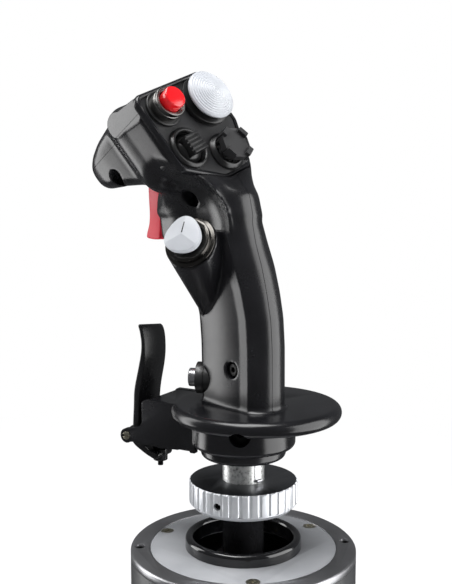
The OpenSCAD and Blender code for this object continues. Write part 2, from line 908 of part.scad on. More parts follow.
// yoke that carries a cap on the cross
module hat_yoke(rise) {
  translate([0, 0, -hat_depth]) {
    difference() {
      for (s = [-1, 1]) translate([-1.5, s * 2.95 - 0.85, -1.6]) cube([3, 1.7, 5.2]);
      rod_y(cross_pin_d + fit, 30);
    }
    translate([0, 0, 2.7]) cylinder(r = 4.2, h = 1.2);
    translate([0, 0, 2.7]) cylinder(r = 3, h = rise);
  }
}

module trim_ring() {
  color("#0f0f11") on_face(trim_at) translate([0, 0, face_t])
    ring(28.4, 14, 3);
}

module trim_hat() {
  r = trim_d / 2;
  rings = 7;
  base = face_t + 6.3;
  color("#d9dce0") on_face(trim_at) {
    hat_yoke(base);
    translate([0, 0, base]) rotate_extrude($fn = 96) polygon(concat(
      [[0, 0], [r - 1, 0], [r, 1], [r, 1.8]],
      [for (i = [0:2 * rings]) let (q = (r - 0.6) * (1 - i / (2 * rings + 1)))
        [q, 1.8 + 3.7 * (1 - pow(q / r, 2)) + (i % 2) * 0.35]],
      [[0, 5.5]]
    ));
  }
}

module thumb_bezel() {
  color("#19191b") on_face(bezel_at) translate([0, 0, face_t])
    rotate_extrude($fn = 96) polygon([
      [8.8, 0], [bezel_d / 2, 0], [bezel_d / 2, 1.4], [bezel_d / 2 - 1, 2.4],
      [9.4, 2.4], [8.8, 1.4]
    ]);
}

module thumb_hat() {
  pad = 10;
  color("#111113") on_face(bezel_at) {
    hat_yoke(6);
    translate([0, 0, -hat_depth]) difference() {
      sphere(8.2);
      sphere(6.6);
      translate([-10, -10, -20]) cube([20, 20, 22.6]);
    }
    translate([-pad / 2, -pad / 2, face_t + 1.2]) cube([pad, pad, 5]);
    for (i = [0:4]) translate([-pad / 2, -pad / 2 + i * 2.2, face_t + 6])
      cube([pad, 1.2, 1.4]);
  }
}

module castle_cup() {
  color("#101012") on_face(castle_at) translate([0, 0, face_t])
    rotate_extrude($fn = 96) polygon([
      [7, 0], [castle_d / 2, 0], [castle_d / 2, 1], [castle_d / 2 - 1.8, 3],
      [8, 3]
    ]);
}

module castle_hat() {
  base = face_t + 6.2;
  r = 9;
  color("#161618") on_face(castle_at) {
    hat_yoke(base - 1);
    translate([0, 0, face_t + 2.6]) cylinder(r1 = 5, r2 = 7.4, h = 3.7);
    translate([0, 0, base]) cylinder(r = r, h = 3.6, $fn = 8);
    for (a = [0:90:270]) rotate([0, 0, a + 22.5])
      translate([r - 2.4, -2.6, base]) cube([2.6, 5.2, 5.4]);
  }
}

module selector_ring() {
  color("#8a8c90") in_selector() {
    ring(27.4, 18, 1.8);
    ring(23.6, 18, 4.6);
  }
}

module selector_cap() {
  base = 7.4;
  r = selector_d / 2;
  color("#c9ced4") in_selector() {
    translate([0, 0, -0.5]) hat_yoke(base + 1);
    difference() {
      union() {
        translate([0, 0, base]) cylinder(r = r - 0.9, h = 3.4);
        translate([0, 0, base + 1]) linear_extrude(3.4)
          for (a = [90, 210, 330]) rotate([0, 0, a]) translate([r - 6.4, 0])
            circle(6.4);
      }
      translate([-6.5, -0.4, base + 3.9]) cube([6, 0.8, 2]);
    }
  }
}

module trim_cross() {
  color("#b9bbbe") on_face(trim_at) hat_cross();
}

module thumb_cross() {
  color("#b9bbbe") on_face(bezel_at) hat_cross();
}

module castle_cross() {
  color("#b9bbbe") on_face(castle_at) hat_cross();
}

module selector_cross() {
  color("#b9bbbe") in_selector() translate([0, 0, -0.5]) hat_cross();
}

// ---- push buttons ----------------------------------------------------------------

module red_button_collar() {
  color("#85878a") on_face(button_at) translate([0, 0, face_t]) {
    ring(20, 12.6, 1.6);
    ring(button_d, 12.6, 8.4);
  }
}

module red_button() {
  color("#d8141c") on_face(button_at) translate([0, 0, face_t]) {
    rotate_extrude($fn = 64) {
      square([6.1, 11]);
      intersection() {
        translate([0, 7.6]) circle(7, $fn = 48);
        translate([0, 10.9]) square([6.1, 20]);
      }
    }
    translate([0, 0, -5]) cylinder(d = 6, h = 6);
  }
}

module push_switch() {
  difference() {
    cylinder(d = 11.6, h = 9);
    translate([0, 0, 4]) cylinder(d = 7, h = 10);
  }
}

module button_switches() {
  color("#26262a") {
    on_face(button_at) translate([0, 0, -9]) push_switch();
    in_push() translate([0, 0, -16]) push_switch();
  }
}

module front_button_bezel() {
  color("#4e5054") in_push() difference() {
    union() {
      translate([0, 0, -7]) cylinder(d = push_d - 1, h = 12);
      translate([0, 0, 2.4]) cylinder(d = push_d, h = 4.4);
    }
    translate([0, 0, -8]) cylinder(d = 10.2, h = 30);
  }
}

module front_button() {
  color("#b9bbbd") in_push() {
    translate([0, 0, -2]) cylinder(d = 9.9, h = 13.2);
    translate([0, 0, -9]) cylinder(d = 6, h = 8);
  }
}

// ---- trigger -------------------------------------------------------------------------

// side view of the trigger, y across and z up
module trigger_outline() {
  polygon([
    [69.5, 284], [72, 276], [73, 266], [72.6, 257], [71.4, 249], [71.6, 243],
    [74, 237], [73.4, 235], [63, 234.6], [62, 240], [61.5, 250], [61.5, 262],
    [62.5, 276], [64, 284]
  ]);
}

module trigger() {
  color("#cf1623") in_grip() difference() {
    union() {
      translate([trigger_pivot[0], 0, 0]) rotate([90, 0, 90])
        linear_extrude(trigger_w, center = true) trigger_outline();
      translate(trigger_pivot) rod_x(8.6, trigger_w);
    }
    translate(trigger_pivot) rod_x(3 + fit, 40);
  }
}

module trigger_pin() {
  color("#c9cbce") in_grip() translate(trigger_pivot) rod_x(3, trigger_w + 4.8);
}

// ---- parts ------------------------------------------------------------------------------

base_plate();
rubber_feet();
base_housing();
base_ring();
ring_screws();
top_plate();
top_plate_screws();
housing_screws();
stick_lip();
cable_gland();
gimbal_cradle();
roll_bushes();
roll_sensor();
main_board();
gimbal_frame();
roll_pins();
pitch_bushes();
roll_spring();
shaft();
pitch_pin();
pitch_spring();
grip_stem();
stem_key();
lower_collar();
hand_rest();
rest_screw();
lever_pin();
lever_spring();
lever_switch();
brake_lever();
stop_screw();
stop_nut();
ring_nut();
nut_set_screw();
grip_shell_left();
grip_shell_right();
head_hood();
face_plate();
shell_screws();
grip_board();
hat_switches();
button_switches();
red_button_collar();
red_button();
trim_ring();
trim_cross();
trim_hat();
thumb_bezel();
thumb_cross();
thumb_hat();
castle_cup();
castle_cross();
castle_hat();
selector_ring();
selector_cross();
selector_cap();
front_button_bezel();
front_button();
trigger();
trigger_pin();
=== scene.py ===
"""Desk flight joystick: the finished pieces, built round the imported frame.

Lengths in the build code are millimetres; MM turns them into the frame's metres."""
import json
import math

import bmesh
import bpy
import numpy as np
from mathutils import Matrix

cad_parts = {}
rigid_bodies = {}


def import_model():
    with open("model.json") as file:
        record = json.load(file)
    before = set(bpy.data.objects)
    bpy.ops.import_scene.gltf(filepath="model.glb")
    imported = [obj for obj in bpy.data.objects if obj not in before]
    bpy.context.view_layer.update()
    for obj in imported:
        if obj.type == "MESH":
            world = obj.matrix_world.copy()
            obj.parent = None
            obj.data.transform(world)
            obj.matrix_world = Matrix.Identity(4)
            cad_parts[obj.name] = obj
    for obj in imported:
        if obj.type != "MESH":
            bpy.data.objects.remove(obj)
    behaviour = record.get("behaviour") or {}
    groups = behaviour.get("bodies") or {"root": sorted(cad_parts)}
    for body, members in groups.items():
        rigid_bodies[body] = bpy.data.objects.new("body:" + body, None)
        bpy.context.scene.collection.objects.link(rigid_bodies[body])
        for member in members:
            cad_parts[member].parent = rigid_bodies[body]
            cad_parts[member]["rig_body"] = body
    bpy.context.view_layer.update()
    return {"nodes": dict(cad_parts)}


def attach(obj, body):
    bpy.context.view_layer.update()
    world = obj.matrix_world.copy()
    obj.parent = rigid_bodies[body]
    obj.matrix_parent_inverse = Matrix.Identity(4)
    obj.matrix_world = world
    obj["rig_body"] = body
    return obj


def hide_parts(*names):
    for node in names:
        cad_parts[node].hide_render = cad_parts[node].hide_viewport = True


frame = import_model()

import openvdb
from mathutils import Matrix, Vector

MM = 0.001

# ---- frames and driving sizes, as in the part's source ---------------------------

GRIP_YAW = 21
HEAD_AT = (-13.7, 21.1, 293.1)
FACE_TILT, FACE_ROLL = 62, 22.5
SELECTOR_AT, SELECTOR_TILT, SELECTOR_TURN = (-26.4, 10.3, 235.7), 63, -154
REST_Z = 151
HANDLE_HW = 13.2
FACE_T = 2.2
FACE_R = 6
SPLIT_X = -2.5
HOOD_V = 20.5
BLOCK_DEPTH, BLOCK_BOTTOM = 29, -19
BUTTON_AT, TRIM_AT = (-15, 16.6), (13.3, 11.5)
BEZEL_AT, CASTLE_AT = (-15.4, -7), (6.2, -17.3)
FACE_CORNERS = [(-22.7, 22.5), (21.5, 22.5), (22, -3), (13, -24), (-3, -24), (-22.7, -12)]


def turn(axis, degrees):
    return Matrix.Rotation(math.radians(degrees), 4, axis)


GRIP = turn("Z", -GRIP_YAW)
HEAD_IN_GRIP = Matrix.Translation(HEAD_AT) @ turn("X", FACE_TILT) @ turn("Z", FACE_ROLL)
HEAD = GRIP @ HEAD_IN_GRIP
SELECTOR_IN_GRIP = Matrix.Translation(SELECTOR_AT) @ turn("Z", SELECTOR_TURN) @ turn("Y", SELECTOR_TILT)
SELECTOR = GRIP @ SELECTOR_IN_GRIP


def on_face(at):
    return HEAD @ Matrix.Translation((at[0], at[1], 0))


# ---- shared mesh code ---------------------------------------------------------------


def add_piece(name, mesh, material, body, nodes=()):
    obj = bpy.data.objects.new(name, mesh)
    bpy.context.scene.collection.objects.link(obj)
    mesh.materials.clear()
    mesh.materials.append(material)
    for face in mesh.polygons:
        face.use_smooth = True
    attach(obj, body)
    if nodes:
        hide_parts(*nodes)
    return obj


def to_mesh(bm, name, matrix=Matrix.Identity(4), scale=MM):
    bm.transform(Matrix.Scale(scale, 4) @ matrix)
    bmesh.ops.recalc_face_normals(bm, faces=bm.faces)
    mesh = bpy.data.meshes.new(name)
    bm.to_mesh(mesh)
    bm.free()
    return mesh


def mark_sharp(bm, degrees):
    limit = math.radians(degrees)
    for edge in bm.edges:
        flat = len(edge.link_faces) != 2 or edge.calc_face_angle(0) > limit
        edge.smooth = not flat


def refine(node, material, bevel, sharp=30):
    """A bevelled, smooth-shaded copy of a CAD node, which it replaces."""
    source = frame["nodes"][node]
    bm = bmesh.new()
    bm.from_mesh(source.data)
    bmesh.ops.remove_doubles(bm, verts=bm.verts, dist=1e-6)
    bmesh.ops.dissolve_limit(bm, angle_limit=math.radians(0.6), verts=bm.verts, edges=bm.edges)
    if bevel:
        edges = [e for e in bm.edges
                 if len(e.link_faces) == 2 and e.calc_face_angle(0) > math.radians(sharp)]
        bmesh.ops.bevel(bm, geom=edges, offset=bevel * MM, offset_type="OFFSET", segments=2,
                        profile=0.5, affect="EDGES", clamp_overlap=True, harden_normals=False)
    mark_sharp(bm, sharp)
    mesh = to_mesh(bm, node + "_finished", scale=1)
    return add_piece(node + "_finished", mesh, material, source["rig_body"], [node])


def arc_corners(points, corner_radius, steps=5):
    """The closed outline with each corner turned into an arc."""
    out = []
    count = len(points)
    for i, point in enumerate(points):
        radius = corner_radius
        here = Vector(point)
        before = Vector(points[i - 1]) - here
        after = Vector(points[(i + 1) % count]) - here
        half = before.angle(after) / 2
        if half > math.radians(89):
            out.append(tuple(here))
            continue
        reach = min(radius / math.tan(half), before.length * 0.48, after.length * 0.48)
        radius = reach * math.tan(half)
        start = here + before.normalized() * reach
        end = here + after.normalized() * reach
        centre = here + (before.normalized() + after.normalized()).normalized() * radius / math.sin(half)
        a, b = start - centre, end - centre
        sweep = a.angle_signed(b)
        for k in range(steps + 1):
            spin = Matrix.Rotation(-sweep * k / steps, 2)
            out.append(tuple(centre + spin @ a))
    return out


def lathe(name, profile, matrix, material, body, nodes=(), sides=128, sharp=35):
    """Turns a closed (radius, height) profile about Z."""
    bm = bmesh.new()
    rings = []
    for radius, height in profile:
        if radius < 1e-4:
            rings.append([bm.verts.new((0, 0, height))] * sides)
        else:
            rings.append([bm.verts.new((radius * math.cos(a), radius * math.sin(a), height))
                          for a in (2 * math.pi * k / sides for k in range(sides))])
    for ring, other in zip(rings, rings[1:] + rings[:1]):
        for k in range(sides):
            corners = [ring[k], ring[(k + 1) % sides], other[(k + 1) % sides], other[k]]
            corners = list(dict.fromkeys(corners))
            if len(corners) > 2:
                bm.faces.new(corners)
    bmesh.ops.recalc_face_normals(bm, faces=bm.faces)
    mark_sharp(bm, sharp)
    return add_piece(name, to_mesh(bm, name, matrix), material, body, nodes)


def spline(points, per_span):
    """Closed Catmull-Rom curve through the points."""
    pts = [Vector(p) for p in points]
    n = len(pts)
    out = []
    for i in range(n):
        p0, p1, p2, p3 = (pts[(i + step) % n] for step in (-1, 0, 1, 2))
        for k in range(per_span):
            t = k / per_span
            out.append(tuple(0.5 * (2 * p1 + (p2 - p0) * t + (2 * p0 - 5 * p1 + 4 * p2 - p3) * t * t
                                    + (3 * p1 - p0 - 3 * p2 + p3) * t ** 3)))
    return out


def slab(name, outline, low, high, matrix, material, body, nodes=(), bevel=0.6, segments=3,
         sharp=35, slant=None):
    """An outline in the XY plane drawn out from low to high, with bevelled rims; slant is the
    height and the angle of a slope that its top edge follows."""
    bm = bmesh.new()
    base = [bm.verts.new((x, y, low)) for x, y in outline]
    face = bm.faces.new(base)
    grown = bmesh.ops.extrude_face_region(bm, geom=[face])
    lifted = [g for g in grown["geom"] if isinstance(g, bmesh.types.BMVert)]
    bmesh.ops.translate(bm, verts=lifted, vec=(0, 0, high - low))
    if slant:
        top, angle = slant
        reach = 8
        for v in bm.verts:
            share = max(0, 1 - (top - v.co.y) / reach)
            v.co.y -= share * v.co.z * math.tan(math.radians(angle))
    bmesh.ops.recalc_face_normals(bm, faces=bm.faces)
    rims = [e for e in bm.edges if abs(e.verts[0].co.z - e.verts[1].co.z) < 1e-6]
    if bevel:
        bmesh.ops.bevel(bm, geom=rims, offset=bevel, offset_type="OFFSET", segments=segments,
                        profile=0.5, affect="EDGES", clamp_overlap=True)
    mark_sharp(bm, sharp)
    return add_piece(name, to_mesh(bm, name, matrix), material, body, nodes)


# ---- materials ------------------------------------------------------------------------

class Nodes:
    """A new node material with a Principled shader, and short ways to add to it."""

    def __init__(self, name, **sockets):
        self.material = bpy.data.materials.new(name)
        self.material.use_nodes = True
        self.tree = self.material.node_tree
        self.shader = self.tree.nodes["Principled BSDF"]
        for key, value in sockets.items():
            self.shader.inputs[key.replace("_", " ")].default_value = value
        self.coords = self.add("ShaderNodeTexCoord").outputs["Object"]

    def add(self, kind, **values):
        node = self.tree.nodes.new(kind)
        for key, value in values.items():
            setattr(node, key, value)
        return node

    def link(self, out, into):
        self.tree.links.new(out, into)

    def noise(self, scale, detail=3, stretch=None, roughness=0.5):
        node = self.add("ShaderNodeTexNoise")
        node.inputs["Scale"].default_value = scale
        node.inputs["Detail"].default_value = detail
        node.inputs["Roughness"].default_value = roughness
        source = self.coords
        if stretch:
            mapping = self.add("ShaderNodeMapping")
            mapping.inputs["Scale"].default_value = stretch
            self.link(source, mapping.inputs["Vector"])
            source = mapping.outputs["Vector"]
        self.link(source, node.inputs["Vector"])
        return node.outputs["Fac"]

    def ramp(self, value, stops):
        node = self.add("ShaderNodeValToRGB")
        while len(node.color_ramp.elements) < len(stops):
            node.color_ramp.elements.new(0.5)
        for element, (at, color) in zip(node.color_ramp.elements, stops):
            element.position = at
            element.color = (*color, 1)
        self.link(value, node.inputs["Fac"])
        return node.outputs["Color"]

    def spread(self, value, low, high, old_low=0.3, old_high=0.7):
        node = self.add("ShaderNodeMapRange")
        node.inputs["From Min"].default_value = old_low
        node.inputs["From Max"].default_value = old_high
        node.inputs["To Min"].default_value = low
        node.inputs["To Max"].default_value = high
        self.link(value, node.inputs["Value"])
        return node.outputs["Result"]

    def math(self, operation, a, b=None):
        node = self.add("ShaderNodeMath", operation=operation)
        for index, value in enumerate((a, b)):
            if value is None:
                continue
            if isinstance(value, (int, float)):
                node.inputs[index].default_value = value
            else:
                self.link(value, node.inputs[index])
        return node.outputs[0]

    def bump(self, heights, strength=0.2, distance=0.1 * MM):
        normal = None
        for height, weight in heights:
            node = self.add("ShaderNodeBump")
            node.inputs["Strength"].default_value = strength * weight
            node.inputs["Distance"].default_value = distance
            self.link(height, node.inputs["Height"])
            if normal:
                self.link(normal, node.inputs["Normal"])
            normal = node.outputs["Normal"]
        self.link(normal, self.shader.inputs["Normal"])

    def color(self, out):
        self.link(out, self.shader.inputs["Base Color"])

    def rough(self, out):
        self.link(out, self.shader.inputs["Roughness"])


def moulded(name, dark, light, rough=(0.25, 0.4), grain=1400, grain_depth=0.25, specular=0.5, coat=0.0):
    """Moulded or painted plastic: faint mottling, fine grain and a few rubbed patches."""
    m = Nodes(name, Specular_IOR_Level=specular, Coat_Weight=coat, Coat_Roughness=0.12)
    cloud = m.noise(45, 4)
    m.color(m.ramp(cloud, [(0.3, dark), (0.72, light)]))
    patches = m.noise(22, 6, roughness=0.65)
    m.rough(m.spread(patches, *rough))
    m.bump([(m.noise(grain, 2), grain_depth), (m.noise(120, 3), grain_depth * 0.5)],
           strength=0.3, distance=0.05 * MM)
    return m.material


def metal(name, dark, light, rough=(0.25, 0.4), lines=None, grain=900, depth=0.3, bare=1.0):
    """Bare or plated metal with drawn or turned lines along one stretch of the coordinates."""
    m = Nodes(name, Metallic=bare)
    cloud = m.noise(60, 4)
    m.color(m.ramp(cloud, [(0.3, dark), (0.7, light)]))
    marks = m.noise(grain, 3, stretch=lines)
    m.rough(m.spread(marks, *rough))
    m.bump([(marks, depth)], strength=0.3, distance=0.04 * MM)
    return m.material


def turned(name, dark, light, rough, pitch=2600, depth=0.35):
    """Metal faced on a lathe: marks run in circles about Z."""
    m = Nodes(name, Metallic=1.0)
    parts = m.add("ShaderNodeSeparateXYZ")
    m.link(m.coords, parts.inputs["Vector"])
    x, y = parts.outputs["X"], parts.outputs["Y"]
    radius = m.math("SQRT", m.math("ADD", m.math("MULTIPLY", x, x), m.math("MULTIPLY", y, y)))
    along = m.math("ADD", radius, parts.outputs["Z"])
    lines = m.add("ShaderNodeTexNoise", noise_dimensions="1D")
    lines.inputs["Scale"].default_value = pitch
    lines.inputs["Detail"].default_value = 4
    m.link(along, lines.inputs["W"])
    blotch = m.noise(35, 4)
    m.color(m.ramp(blotch, [(0.3, dark), (0.7, light)]))
    m.rough(m.spread(lines.outputs["Fac"], *rough))
    m.bump([(lines.outputs["Fac"], depth)], strength=0.3, distance=0.03 * MM)
    return m.material


def galvanised(name):
    """Zinc plating: pale crystals with darker spots."""
    m = Nodes(name, Metallic=0.85)
    cells = m.add("ShaderNodeTexVoronoi")
    cells.inputs["Scale"].default_value = 520
    m.link(m.coords, cells.inputs["Vector"])
    spots = m.noise(700, 5, roughness=0.75)
    mixed = m.math("ADD", m.math("MULTIPLY", cells.outputs["Distance"], 0.35), spots)
    m.color(m.ramp(mixed, [(0.42, (0.1, 0.1, 0.1)), (0.56, (0.55, 0.56, 0.55)), (0.8, (0.86, 0.87, 0.86))]))
    m.rough(m.spread(spots, 0.5, 0.32))
    m.bump([(mixed, 1.0)], strength=0.35, distance=0.08 * MM)
    return m.material


BLACK = moulded("body_black", (0.006, 0.006, 0.007), (0.012, 0.012, 0.014), rough=(0.2, 0.3), specular=0.55)
FACE_BLACK = moulded("face_black", (0.010, 0.010, 0.011), (0.022, 0.022, 0.024), rough=(0.42, 0.55),
                     grain=1500, grain_depth=0.9)
REST_BLACK = moulded("rest_black", (0.005, 0.005, 0.006), (0.010, 0.010, 0.012), rough=(0.18, 0.28))
LEVER_BLACK = moulded("lever_black", (0.005, 0.005, 0.006), (0.010, 0.010, 0.011), rough=(0.2, 0.32),
                      grain=700)
LIP_BLACK = moulded("lip_black", (0.005, 0.005, 0.006), (0.010, 0.010, 0.011), rough=(0.06, 0.14), coat=0.4)
HAT_BLACK = moulded("hat_black", (0.008, 0.008, 0.008), (0.018, 0.018, 0.019), rough=(0.26, 0.4), grain=1800)
GREY_TOP = moulded("castle_grey", (0.014, 0.014, 0.015), (0.03, 0.03, 0.031), rough=(0.32, 0.5), grain=2200,
                   grain_depth=0.6)
HAT_WHITE = moulded("hat_white", (0.50, 0.52, 0.56), (0.62, 0.64, 0.67), rough=(0.3, 0.45), grain=1600)
RED = moulded("red", (0.62, 0.006, 0.010), (0.78, 0.010, 0.016), rough=(0.14, 0.24), grain=900,
              grain_depth=0.12, coat=0.5)
RED_TRIGGER = moulded("red_trigger", (0.64, 0.008, 0.03), (0.76, 0.012, 0.04), rough=(0.3, 0.45), grain=1200,
                      specular=0.35)
RUBBER = moulded("rubber", (0.010, 0.010, 0.010), (0.022, 0.022, 0.022), rough=(0.7, 0.9), grain=900,
                 grain_depth=0.8, specular=0.3)
DRUM_GREY = moulded("drum_grey", (0.03, 0.031, 0.033), (0.05, 0.051, 0.054), rough=(0.35, 0.5), grain=1100,
                    grain_depth=0.6)
PLATE_BLACK = moulded("plate_black", (0.018, 0.018, 0.019), (0.032, 0.032, 0.034), rough=(0.45, 0.6),
                      grain=1500, grain_depth=0.9)
COVER_GREY = moulded("cover_grey", (0.34, 0.35, 0.37), (0.43, 0.44, 0.46), rough=(0.38, 0.52), grain=1300,
                     grain_depth=0.5)
GLAND_BLACK = moulded("gland_black", (0.012, 0.012, 0.012), (0.026, 0.026, 0.027), rough=(0.4, 0.55),
                      grain=900)
DARK_SCREW = metal("dark_screw", (0.012, 0.012, 0.012), (0.03, 0.03, 0.03), rough=(0.35, 0.55))
BRASS_SCREW = metal("brass_screw", (0.34, 0.32, 0.25), (0.55, 0.52, 0.42), rough=(0.25, 0.45))
STEEL = metal("pin_steel", (0.45, 0.45, 0.46), (0.62, 0.62, 0.64), rough=(0.22, 0.36), lines=(1, 1, 4))
RING_STEEL = turned("ring_steel", (0.34, 0.34, 0.35), (0.5, 0.5, 0.52), rough=(0.3, 0.44))
NUT_SILVER = metal("nut_silver", (0.66, 0.68, 0.71), (0.82, 0.84, 0.87), rough=(0.36, 0.5), lines=(1, 1, 0.1),
                   bare=0.55)
NUT_TOP = turned("nut_top", (0.16, 0.165, 0.18), (0.24, 0.245, 0.26), rough=(0.3, 0.42))
COLLAR_STEEL = metal("collar_steel", (0.16, 0.155, 0.15), (0.28, 0.275, 0.265), rough=(0.26, 0.38),
                     lines=(1, 1, 3))
CHROME = metal("chrome", (0.06, 0.056, 0.052), (0.11, 0.105, 0.098), rough=(0.16, 0.24), grain=500,
               depth=0.08)
KNURL = metal("knurl_grey", (0.05, 0.05, 0.05), (0.22, 0.22, 0.22), rough=(0.35, 0.5), grain=1500, depth=1.0)
GALVANISED = galvanised("galvanised")
BRASS = metal("bush", (0.42, 0.30, 0.12), (0.6, 0.45, 0.2), rough=(0.25, 0.4))
CAST = metal("cast", (0.34, 0.35, 0.36), (0.48, 0.49, 0.5), rough=(0.45, 0.6), grain=600, depth=0.9)
BOARD = moulded("board", (0.01, 0.09, 0.035), (0.02, 0.15, 0.06), rough=(0.3, 0.45), grain=500)
SWITCH_BLACK = moulded("switch_black", (0.015, 0.015, 0.016), (0.03, 0.03, 0.032), rough=(0.4, 0.6))
SHAFT_BLACK = moulded("shaft_black", (0.008, 0.008, 0.009), (0.022, 0.022, 0.024), rough=(0.14, 0.3),
                      grain=300, grain_depth=0.6)


# ---- the grip: a distance field, meshed and cut at its seams ----------------------------

VOXEL = 0.7
LOW, HIGH = Vector((-47, -31, 148)), Vector((27, 99, 333))
SHAPE = [int((h - l) / VOXEL) + 1 for l, h in zip(LOW, HIGH)]
FAR = 12.0


def smooth_min(a, b, k):
    h = np.clip(0.5 + 0.5 * (b - a) / k, 0, 1)
    return b + (a - b) * h - k * h * (1 - h)


def smooth_max(a, b, k):
    return -smooth_min(-a, -b, k)


def soften(field, reach):
    """Blurs a field over a few grid steps, which rounds its creases."""
    weights = np.hanning(2 * reach + 3)[1:-1].astype(np.float32)
    weights /= weights.sum()
    for axis in range(3):
        padded = np.pad(field, [(reach, reach) if a == axis else (0, 0) for a in range(3)], mode="edge")
        size = field.shape[axis]
        field = sum(w * np.take(padded, range(k, k + size), axis) for k, w in enumerate(weights))
    return field


class Field:
    """Signed distances on the grip's grid, in the grip's frame."""

    def __init__(self):
        axes = [l + VOXEL * np.arange(n, dtype=np.float32) for l, n in zip(LOW, SHAPE)]
        self.x, self.y, self.z = np.meshgrid(*axes, indexing="ij")

    def window(self, points, margin=FAR):
        """Index range of the grid round some points."""
        pts = np.array(points)
        first = np.maximum(((pts.min(0) - margin - np.array(LOW)) / VOXEL).astype(int), 0)
        last = np.minimum(((pts.max(0) + margin - np.array(LOW)) / VOXEL).astype(int) + 1, SHAPE)
        return tuple(slice(a, b) for a, b in zip(first, last))

    def hull(self, points):
        """Distance to the convex hull of the points, FAR away from it."""
        bm = bmesh.new()
        for p in points:
            bm.verts.new(p)
        bmesh.ops.convex_hull(bm, input=bm.verts)
        planes = {}
        middle = sum((v.co for v in bm.verts), Vector()) / len(bm.verts)
        for f in bm.faces:
            normal = f.normal if f.normal.dot(f.verts[0].co - middle) > 0 else -f.normal
            planes[tuple(round(c, 3) for c in normal)] = (normal.copy(), normal.dot(f.verts[0].co))
        bm.free()
        out = np.full(SHAPE, FAR, np.float32)
        cut = self.window(points)
        x, y, z = self.x[cut], self.y[cut], self.z[cut]
        best = np.full(x.shape, -1e3, np.float32)
        for normal, level in planes.values():
            np.maximum(best, normal.x * x + normal.y * y + normal.z * z - level, out=best)
        out[cut] = np.minimum(best, FAR)
        return out

    def sphere(self, centre, radius):
        return np.sqrt((self.x - centre[0]) ** 2 + (self.y - centre[1]) ** 2
                       + (self.z - centre[2]) ** 2) - radius

    def prism(self, corners, radius, matrix):
        """Distance to an endless prism: the convex corners, given clockwise, grown by the radius."""
        u, v, _ = self.local(matrix)
        nearest = np.full(SHAPE, 1e3, np.float32)
        inside = np.full(SHAPE, -1e3, np.float32)
        for (ax, ay), (bx, by) in zip(corners, corners[1:] + corners[:1]):
            ex, ey = bx - ax, by - ay
            length = math.hypot(ex, ey)
            along = np.clip(((u - ax) * ex + (v - ay) * ey) / length ** 2, 0, 1)
            np.minimum(nearest, np.hypot(u - ax - along * ex, v - ay - along * ey), out=nearest)
            np.maximum(inside, ((v - ay) * ex - (u - ax) * ey) / length, out=inside)
        return np.where(inside < 0, -nearest, nearest) - radius

    def cylinder(self, matrix, radius, low, high):
        """A capped cylinder along the matrix's Z."""
        x, y, z = self.local(matrix)
        side = np.sqrt(x * x + y * y) - radius
        return np.maximum(side, np.maximum(low - z, z - high))

    def local(self, matrix):
        inv = matrix.inverted()
        return [inv[r][0] * self.x + inv[r][1] * self.y + inv[r][2] * self.z + inv[r][3] for r in range(3)]


def eased(at, keys, column, width=5.0):
    """One column of a station table at the given places, with its corners eased over width."""
    places = [k[0] for k in keys]
    values = [k[column] for k in keys]
    fine = np.arange(places[0] - 30, places[-1] + 30, 0.5)
    raw = np.interp(fine, places, values)
    reach = int(width / 0.5)
    window = np.hanning(2 * reach + 1)
    soft = np.convolve(np.pad(raw, reach, mode="edge"), window / window.sum(), mode="valid")
    return np.interp(at, fine, soft).astype(np.float32)


# handle: height, sideways shift, front, back, half width
HANDLE = [
    (REST_Z, 0, 21.4, -25.5, HANDLE_HW),
    (183, 0, 22.4, -25.2, HANDLE_HW),
    (198, 0, 24, -24, HANDLE_HW),
    (211, 0, 30, -21, HANDLE_HW + 0.3),
    (224, -0.5, 39, -17.2, HANDLE_HW + 0.8),
    (236, -1, 54.5, -12.3, HANDLE_HW + 0.8),
    (252, -3, 55, -8.2, HANDLE_HW + 0.5),
    (264, -3, 53, -5, HANDLE_HW + 0.2),
]
# how far the round back is wider than the flat sides, which leaves a crease between them
REAR_BULGE = 0.8
# how far the flat sides bow out between front and back
SIDE_CROWN = 0.9
FOOT_FILLET = 2.4
HANDLE_TOP = 261
# height where the neck between handle and head begins
NECK_LOW = 250
# nose: depth, half width, bottom, top
NOSE = [
    (26, 21, -15, 32.5),
    (38, 21, -6, 31.5),
    (50, 20.5, 0, 30),
    (60, 19.5, 4, 27.5),
    (68.5, 17, 7, 24.5),
    (72.5, 12, 10, 20.5),
]


def handle_field(f):
    z = f.z[0, 0, :]
    shift, front, back, half = (eased(z, HANDLE, c) for c in (1, 2, 3, 4))
    x, y = f.x - shift, f.y
    corner = 4.0
    rear_r = half + REAR_BULGE
    centre = back + rear_r + 0.3
    along = np.clip((y - (front + centre) / 2) / ((front - centre) / 2), -1.2, 1.2)
    side = np.abs(x) - (half - corner) + SIDE_CROWN * along ** 2
    ahead = y - (front - corner)
    outside = np.hypot(np.maximum(side, 0), np.maximum(ahead, 0))
    box = outside + np.minimum(np.maximum(side, ahead), 0) - corner
    rear = np.maximum(np.hypot(x, y - centre) - rear_r, np.abs(x) - half + SIDE_CROWN)
    low = np.clip(FOOT_FILLET - (f.z - REST_Z), 0, FOOT_FILLET)
    plan = np.where(y < centre, rear, box) - (FOOT_FILLET - np.sqrt(FOOT_FILLET ** 2 - low ** 2))
    return smooth_max(np.maximum(plan, REST_Z - 0.4 - f.z), f.z - HANDLE_TOP, 5)


def circle_points(centre, radius, matrix, height, steps=20):
    return [matrix @ Vector((centre[0] + radius * math.cos(a), centre[1] + radius * math.sin(a), height))
            for a in (2 * math.pi * k / steps for k in range(steps))]


